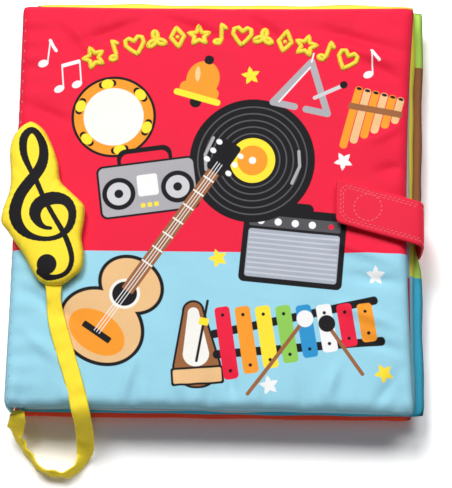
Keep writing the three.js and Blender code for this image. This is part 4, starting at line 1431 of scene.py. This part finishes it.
def triangle_grid(low, high, pitch):
    """Points in staggered rows, as in a net of even triangles."""
    spots = []
    row = 0
    y = low[1] + pitch
    while y < high[1]:
        x = low[0] + (pitch / 2 if row % 2 else 0)
        while x < high[0]:
            spots.append((x, y))
            x += pitch
        y += pitch * 0.866
        row += 1
    return np.array(spots)


def inside_loop(spots, loop):
    """Which points lie inside: a ray from each crosses the outline an odd number of times."""
    inside = np.zeros(len(spots), bool)
    for (ax, ay), (bx, by) in zip(loop, np.roll(loop, -1, axis=0)):
        if ay != by:
            crosses = ((ay > spots[:, 1]) != (by > spots[:, 1]))
            crosses &= spots[:, 0] < (bx - ax) * (spots[:, 1] - ay) / (by - ay) + ax
            inside ^= crosses
    return inside


def stuffed_shape(name, outline, z0, z1, reach, pitch, material):
    loop = smooth_path(outline, 8, closed=True)
    spots = triangle_grid(loop.min(0), loop.max(0), pitch)
    spots = spots[inside_loop(spots, loop) & (distance_to_loop(spots, loop) > pitch * 0.6)]
    flat = [Vector(p) for p in np.vstack([loop, spots])]
    edges = [(k, (k + 1) % len(loop)) for k in range(len(loop))]
    flat, _, triangles, *_ = delaunay_2d_cdt(flat, edges, [], 1, 1e-6)
    flat = np.array([tuple(p) for p in flat])
    seam = distance_to_loop(flat, loop)
    middle = (z0 + z1) / 2
    lift = (z1 - z0) / 2 * swell(seam, reach)
    angle = np.arctan2(flat[:, 1] - flat[:, 1].mean(), flat[:, 0] - flat[:, 0].mean())
    lift *= 1 + 0.2 * (np.sin(angle * 31) + 0.6 * np.sin(angle * 19 + 1)) * np.exp(-seam / 3)
    on_seam = seam < 1e-4
    points = [(x, y, middle + h) for (x, y), h in zip(flat, lift)]
    twin = {}
    for k, (x, y) in enumerate(flat):
        twin[k] = k if on_seam[k] else len(points)
        if not on_seam[k]:
            points.append((x, y, middle - lift[k]))
    faces = [tuple(t) for t in triangles]
    faces += [tuple(twin[c] for c in reversed(t)) for t in triangles]
    made = make_object(name, [at(*p) for p in points], faces, material)
    rest_from_place(made)
    return made


# %% Clef print
# The clef's strokes: points with the stroke's half width there
CLEF_CURL = [
    (21.8, 90.7, 0.8), (18.7, 91.2, 1), (15.6, 93.6, 1.7), (13.5, 98.4, 2.6), (15.6, 103.7, 2.9),
    (22.2, 106.6, 3), (28.9, 105.4, 2.4), (32.5, 99.6, 1.8), (31.4, 91.8, 1.6), (26.4, 86.6, 1.2),
    (19, 85, 1.1), (11, 86.9, 1.6), (5.4, 92, 2.4), (3.2, 99.2, 2.8), (5, 107.4, 2.7),
    (8.6, 113.4, 2.6), (12.6, 118.6, 2.5), (15.6, 124, 2.4), (16.6, 130, 2.1), (15.4, 136.4, 1.8),
    (12, 141.9, 1.5), (8.6, 142.7, 1.7), (5.8, 138.2, 1.9), (6.3, 130.3, 1.6), (9.6, 122.6, 1.2),
    (13, 116.6, 1),
]
CLEF_STEM = [
    (13, 116.6, 1.2), (18, 106, 1.1), (23.2, 97, 1.1), (28.8, 87.8, 1.2), (32.2, 79.8, 1.2),
    (33.2, 73.8, 1.1), (31.2, 68.4, 1), (26.6, 65.6, 1), (21.2, 65.4, 1.4), (17.4, 68.2, 1.8),
]
CLEF_DOT = (20.6, 71.8, 5.1, 5.3)
CLEF_WEIGHT = 1.15


def clef_print(tree, place):
    p = Print(tree, place, (*YELLOW, 1))
    for line in (CLEF_CURL, CLEF_STEM):
        fine = smooth_path(line, 3)
        for (ax, ay, aw), (bx, by, bw) in zip(fine, fine[1:]):
            p.stroke([(ax, ay), (bx, by)], aw * CLEF_WEIGHT, BLACK, bw * CLEF_WEIGHT)
    p.oval(*CLEF_DOT, BLACK)
    print("clef has", p.count, "shapes")
    return p.colour


# %% Charm and ribbon on the book
CHARM_SWELL = 11
CHARM_PITCH = 1.5
charm_cloth = cloth("charm_cloth", YELLOW, clef_print, shade=0.14, creases=1.5)
charm = stuffed_shape("stuffed_charm", CHARM_OUTLINE, charm_low.z, charm_high.z, CHARM_SWELL,
                      CHARM_PITCH, charm_cloth)
finish_piece(charm, "page_block", "clef_charm")
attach(ribbon, "page_block")
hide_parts("tether_ribbon")
print("charm has", len(charm.data.polygons), "faces")

# %% [markdown]
# Hard finishes. Moulded, plated and lacquered parts differ by colour, gloss and a fine grain, so
# one function makes them all. The tapes of the fastening use it too, as a rough pile.

# %% Hard finish
GRAIN_RELIEF = 0.02
PILE_GRAIN = 1500


def hard(name, colour, roughness, metallic=0.0, grain=0.15, grain_scale=900.0, coat=0.0):
    """A moulded or plated finish with a fine grain in its roughness and relief."""
    made, _, links = new_material(name)
    tree = made.node_tree
    shader = tree.nodes["Principled BSDF"]
    place = tree.nodes.new("ShaderNodeTexCoord").outputs["Object"]
    speck = noise(tree, place, grain_scale, 3)
    patch = noise(tree, place, 60, 2)
    shade = math_node(tree, "ADD", 0.94, math_node(tree, "MULTIPLY", patch, 0.12))
    links.new(scaled_vector(tree, colour, shade), shader.inputs["Base Color"])
    swing = math_node(tree, "MULTIPLY", math_node(tree, "SUBTRACT", speck, 0.5), grain)
    links.new(math_node(tree, "ADD", roughness, swing), shader.inputs["Roughness"])
    shader.inputs["Metallic"].default_value = metallic
    shader.inputs["Coat Weight"].default_value = coat
    add_bump(tree, shader, speck, GRAIN_RELIEF * MM, 0.5)
    return made


# %% [markdown]
# Thread. Satin stitch lies as a low round ridge of close threads, and a topstitch is a row of
# short ones. Both are swept along a line that is dropped onto the cloth below, so they follow
# its creases.

# %% Ridges of thread
DROP_FROM = 80
RING = 8


def surface_of(made):
    return BVHTree.FromPolygons([v.co.copy() for v in made.data.vertices],
                                [tuple(f.vertices) for f in made.data.polygons])


def drop(tree, x, y, fallback):
    hit = tree.ray_cast(at(x, y, DROP_FROM), Vector((0, 0, -1)))
    return hit[0].z / MM if hit[0] else fallback


class Thread:
    """Collects ridges of thread into one mesh."""

    def __init__(self, tree, fallback):
        self.tree, self.fallback = tree, fallback
        self.points, self.faces, self.rest = [], [], []

    def ridge(self, line, width, height, closed=False, sink=0.15):
        line = np.array(line, float)
        count = len(line)
        ahead = np.roll(line, -1, 0) - np.roll(line, 1, 0)
        if not closed:
            ahead[0], ahead[-1] = line[1] - line[0], line[-1] - line[-2]
        ahead /= np.linalg.norm(ahead, axis=1)[:, None]
        first = len(self.points)
        run = 0
        for k, ((x, y), (tx, ty)) in enumerate(zip(line, ahead)):
            run += float(np.linalg.norm(line[k] - line[k - 1])) if k else 0
            end = 1 if closed else math.sqrt(min(1, (min(k, count - 1 - k) + 0.25) / 1.5))
            base = drop(self.tree, x, y, self.fallback)
            for i in range(RING):
                a = 2 * math.pi * i / RING
                out = math.cos(a) * width / 2 * end
                up = math.sin(a) * height * end
                self.points.append(at(x - ty * out, y + tx * out, base - sink + max(up, -0.3)))
                self.rest.append((out * 3, run, 0))
        rows = count if closed else count - 1
        for k in range(rows):
            for i in range(RING):
                a = first + k * RING + i
                b = first + k * RING + (i + 1) % RING
                c = first + ((k + 1) % count) * RING + (i + 1) % RING
                d = first + ((k + 1) % count) * RING + i
                self.faces.append((a, d, c, b))
        if not closed:
            self.faces.append(tuple(range(first, first + RING)))
            last = first + (count - 1) * RING
            self.faces.append(tuple(reversed(range(last, last + RING))))

    def build(self, name, material):
        made = make_object(name, self.points, self.faces, material)
        set_rest(made, self.rest)
        face_outward(made)
        return made


def stitched_line(thread, line, stitch, space, width, height):
    """A row of short stitches along a line."""
    fine = np.array(line, float)
    lengths = np.concatenate([[0], np.cumsum(np.linalg.norm(np.diff(fine, axis=0), axis=1))])
    run = 0.0
    while run + stitch < lengths[-1]:
        spots = np.linspace(run, run + stitch, 4)
        xs = np.interp(spots, lengths, fine[:, 0])
        ys = np.interp(spots, lengths, fine[:, 1])
        thread.ridge(np.stack([xs, ys], 1), width, height)
        run += stitch + space


# %% Thread material
THREAD_RELIEF = 0.08


def thread_material(name, colour):
    made, _, links = new_material(name)
    tree = made.node_tree
    shader = tree.nodes["Principled BSDF"]
    lines = tree.nodes.new("ShaderNodeTexWave")
    lines.bands_direction = "Y"
    lines.inputs["Scale"].default_value = 0.75
    lines.inputs["Distortion"].default_value = 0.6
    links.new(place_of(tree), lines.inputs["Vector"])
    dark = tuple(0.86 * c for c in colour)
    shaded = mix_colour(tree, lines.outputs["Fac"], (*dark, 1), (*colour, 1))
    links.new(shaded, shader.inputs["Base Color"])
    add_bump(tree, shader, lines.outputs["Fac"], THREAD_RELIEF * MM)
    shader.inputs["Roughness"].default_value = 0.42
    shader.inputs["Sheen Weight"].default_value = 0.04
    return made


# %% [markdown]
# The embroidered arc. The picture has raised yellow embroidery in an arc near the upper edge.
# Stars, hearts, notes, sprigs and diamonds of the same height, thread and spacing stand there.

# %% Embroidery motifs
def circle_line(x, y, rx, ry, count):
    angles = [2 * math.pi * k / count for k in range(count)]
    return [(x + rx * math.cos(a), y + ry * math.sin(a)) for a in angles]


def dense(points, pitch=0.7, closed=False):
    points = list(points) + ([points[0]] if closed else [])
    out = []
    for (ax, ay), (bx, by) in zip(points, points[1:]):
        steps = max(2, round(math.hypot(bx - ax, by - ay) / pitch))
        out += [(ax + (bx - ax) * s / steps, ay + (by - ay) * s / steps) for s in range(steps)]
    return out if closed else out + [points[-1]]


def star_lines(size):
    tips = []
    for k in range(10):
        r = size if k % 2 == 0 else size * 0.45
        a = math.radians(90 + 36 * k)
        tips.append((r * math.cos(a), r * math.sin(a)))
    return [(dense(tips, closed=True), True)]


def heart_lines(size):
    half = [(0, -0.95), (-0.5, -0.4), (-0.85, 0.1), (-0.8, 0.6), (-0.4, 0.75), (0, 0.35)]
    points = half + [(-x, y) for x, y in reversed(half[1:-1])]
    return [(dense([(x * size, y * size) for x, y in points], closed=True), True)]


def note_lines(size):
    head = circle_line(-size * 0.28, -size * 0.66, size * 0.28, size * 0.2, 12)
    stem = dense([(size * 0.08, -size * 0.6), (size * 0.08, size), (size * 0.62, size * 0.5)])
    return [(head, True), (stem, False)]


def sprig_lines(size):
    loops = []
    for a in (90, 210, 330):
        c, s = math.cos(math.radians(a)), math.sin(math.radians(a))
        petal = [(size * (0.5 + 0.42 * math.cos(t)), size * 0.22 * math.sin(t))
                 for t in np.linspace(0, 2 * math.pi, 15)[:-1]]
        loops.append(([(c * x - s * y, s * x + c * y) for x, y in petal], True))
    return loops


def diamond_lines(size):
    return [(dense([(0, size), (-size * 0.62, 0), (0, -size), (size * 0.62, 0)], closed=True), True),
            (dense([(0, size * 0.2), (0, -size * 0.2)]), False)]


# %% Embroidered arc
MOTIFS = [star_lines, note_lines, heart_lines, sprig_lines, diamond_lines]
MOTIF_COUNT = 13
MOTIF_SIZE = 5.6
STITCH_WIDTH = 2.7
STITCH_HEIGHT = 1.3
ARC_CENTRE = (105.5, 30)
ARC_RADIUS = 169
ARC_HALF_ANGLE = math.radians(23)
ARC_DROP = 0.5
front_surface = surface_of(front)
arc_thread = Thread(front_surface, COVER_TOP)
for k in range(MOTIF_COUNT):
    a = ARC_HALF_ANGLE * (1 - 2 * k / (MOTIF_COUNT - 1))
    cx = ARC_CENTRE[0] - ARC_RADIUS * math.sin(a)
    cy = ARC_CENTRE[1] + ARC_RADIUS * math.cos(a) - ARC_DROP
    c, s = math.cos(a), math.sin(a)
    for line, closed in MOTIFS[k % len(MOTIFS)](MOTIF_SIZE):
        placed = [(cx + c * x - s * y, cy + s * x + c * y) for x, y in line]
        arc_thread.ridge(placed, STITCH_WIDTH, STITCH_HEIGHT, closed)
yellow_thread = thread_material("yellow_thread", (1.0, 0.8, 0.05))
arc = arc_thread.build("embroidered_arc", yellow_thread)
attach(arc, "front_cover_board")
print("embroidery has", len(arc.data.polygons), "faces")

# %% Hinge stitches
HINGE_LINE = [(2.6, 4), (2.6, 211)]
hinge_thread = Thread(front_surface, COVER_TOP - 2)
stitched_line(hinge_thread, HINGE_LINE, 1.4, 4.2, 0.55, 0.4)
hinge_stitches = hinge_thread.build("hinge_stitches", thread_material("grey_thread", (0.35, 0.35, 0.38)))
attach(hinge_stitches, "front_cover_board")
print("hinge stitches have", len(hinge_stitches.data.polygons), "faces")

# %% Topstitch on the strap
STITCH_LENGTH = 1.7
STITCH_SPACE = 0.6
DOT_STITCH_RADIUS = 7
strap_thread = Thread(surface_of(strap), strap_top)


def on_strap(x, share):
    """A point of the strap's upper side: share runs from one long edge to the other."""
    return (x, strap_middle + share * (STRAP_WIDTH / 2 - TOPSTITCH_IN) + strap_slant(x))


def strap_stitches(corners, width, height):
    """One row of stitches: in along one long edge, round the end and back along the other."""
    there = [on_strap(x, -share) for x, share in corners]
    back = [on_strap(x, share) for x, share in reversed(corners)]
    stitched_line(strap_thread, dense(there + back, 1.0), STITCH_LENGTH, STITCH_SPACE, width, height)


left_end = strap_low.x + 2.4
strap_stitches([(210, 1), (left_end + 3, 1), (left_end, 0.68)], 0.55, 0.42)
strap_stitches([(209, 0.86), (left_end + 4, 0.86), (left_end + 1.4, 0.6)], 0.5, 0.36)
dot_low, dot_high = extent("strap_hook_disc")
dot_centre = ((dot_low.x + dot_high.x) / 2, (dot_low.y + dot_high.y) / 2)
ring_line = circle_line(*dot_centre, DOT_STITCH_RADIUS, DOT_STITCH_RADIUS, 60)
stitched_line(strap_thread, ring_line + ring_line[:1], STITCH_LENGTH, STITCH_SPACE, 0.65, 0.46)
topstitch = strap_thread.build("strap_topstitch", thread_material("red_thread", (0.95, 0.2, 0.24)))
print("topstitch has", len(topstitch.data.polygons), "faces")

# %% [markdown]
# The hook dot. The dot sits under the strap's end. When the back cover turns away, a real strap
# has been peeled and lies loose; here the strap, its stitches and its dot ride together on the
# back cover.

# %% Hook dot, and the strap on the back cover
def disc(name, low, high, material):
    """A round of hook tape with a slightly softened rim."""
    centre, radius = (low + high) / 2, (high.x - low.x) / 2
    rim = [(radius - 0.25, low.z), (radius, low.z + 0.2), (radius, high.z - 0.2), (radius - 0.25, high.z)]
    count = 48
    points = [(x, y, z) for r, z in rim for x, y in circle_line(centre.x, centre.y, r, r, count)]
    faces = []
    for k in range(len(rim) - 1):
        for i in range(count):
            a, b = k * count + i, k * count + (i + 1) % count
            faces.append((a, b, b + count, a + count))
    faces += [tuple(reversed(range(count))), tuple(range(3 * count, 4 * count))]
    return make_object(name, [at(*p) for p in points], faces, material, smooth=False)


red_pile = hard("red_pile", (0.7, 0.02, 0.045), 0.9, grain_scale=PILE_GRAIN)
hook_disc = disc("hook_tape_disc", dot_low, dot_high, red_pile)
for piece, slot in ((strap, "strap_cloth"), (topstitch, "strap_cloth"), (hook_disc, "hook_tape")):
    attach(piece, "back_cover_board")
    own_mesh(piece)
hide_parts("closure_strap")
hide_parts("strap_hook_disc")

# %% [markdown]
# The kept parts. The loop dot, the pocket's tapes, the sound box and what it holds are already
# true in the frame, so they only need their finishes: pile for the tapes, fine moulded plastic,
# plated steel, brass, a paper cone, lacquered board and the chip's resin.

# %% Finishes for the kept parts
box_plastic = hard("box_plastic", (0.88, 0.88, 0.86), 0.5)
door_plastic = hard("door_plastic", (0.8, 0.8, 0.78), 0.5)
button_plastic = hard("button_plastic", (0.75, 0.03, 0.03), 0.25, coat=0.3)
plated_steel = hard("plated_steel", (0.6, 0.61, 0.63), 0.35, 1.0)
cell_steel = hard("cell_steel", (0.66, 0.67, 0.69), 0.28, 1.0)
brass = hard("brass", (0.75, 0.55, 0.2), 0.3, 1.0)
FINISHES = [
    (red_pile, ["cover_loop_disc"]),
    (hard("white_pile", (0.85, 0.85, 0.82), 0.9, grain_scale=PILE_GRAIN),
     ["pocket_loop_tape", "pocket_hook_tape"]),
    (box_plastic, ["sound_box_base", "sound_box_lid"]),
    (door_plastic, ["cell_door"]),
    (button_plastic, ["push_button"]),
    (plated_steel, ["cell_door_screw", "speaker_magnet"] + [f"case_screw_{k}" for k in range(1, 5)]),
    (cell_steel, [f"button_cell_{k}" for k in range(1, 4)]),
    (brass, ["contact_plate_positive", "contact_plate_negative"]),
    (hard("paper_cone", (0.03, 0.03, 0.032), 0.7), ["speaker"]),
    (hard("board_lacquer", (0.02, 0.2, 0.07), 0.4, coat=0.4), ["circuit_board"]),
    (hard("chip_resin", (0.012, 0.012, 0.013), 0.3), ["sound_chip"]),
]
for finish, members in FINISHES:
    for member in members:
        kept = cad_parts[member]
        kept.data.materials.clear()
        kept.data.materials.append(finish)
print("finished", sum(len(members) for _, members in FINISHES), "kept parts")

# %% [markdown]
# The rubber dome gives way under the button, so it is a soft piece of its own: it keeps the
# frame's form and rides on the back cover.

# %% Dome under the button
dome_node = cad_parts["button_dome"]
dome_points = [dome_node.matrix_world @ v.co for v in dome_node.data.vertices]
dome_faces = [tuple(f.vertices) for f in dome_node.data.polygons]
dome_rubber = hard("dome_rubber", (0.68, 0.68, 0.65), 0.7)
dome = make_object("rubber_dome", dome_points, dome_faces, dome_rubber, smooth=False)
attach(dome, "back_cover_board")
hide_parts("button_dome")
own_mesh(dome)
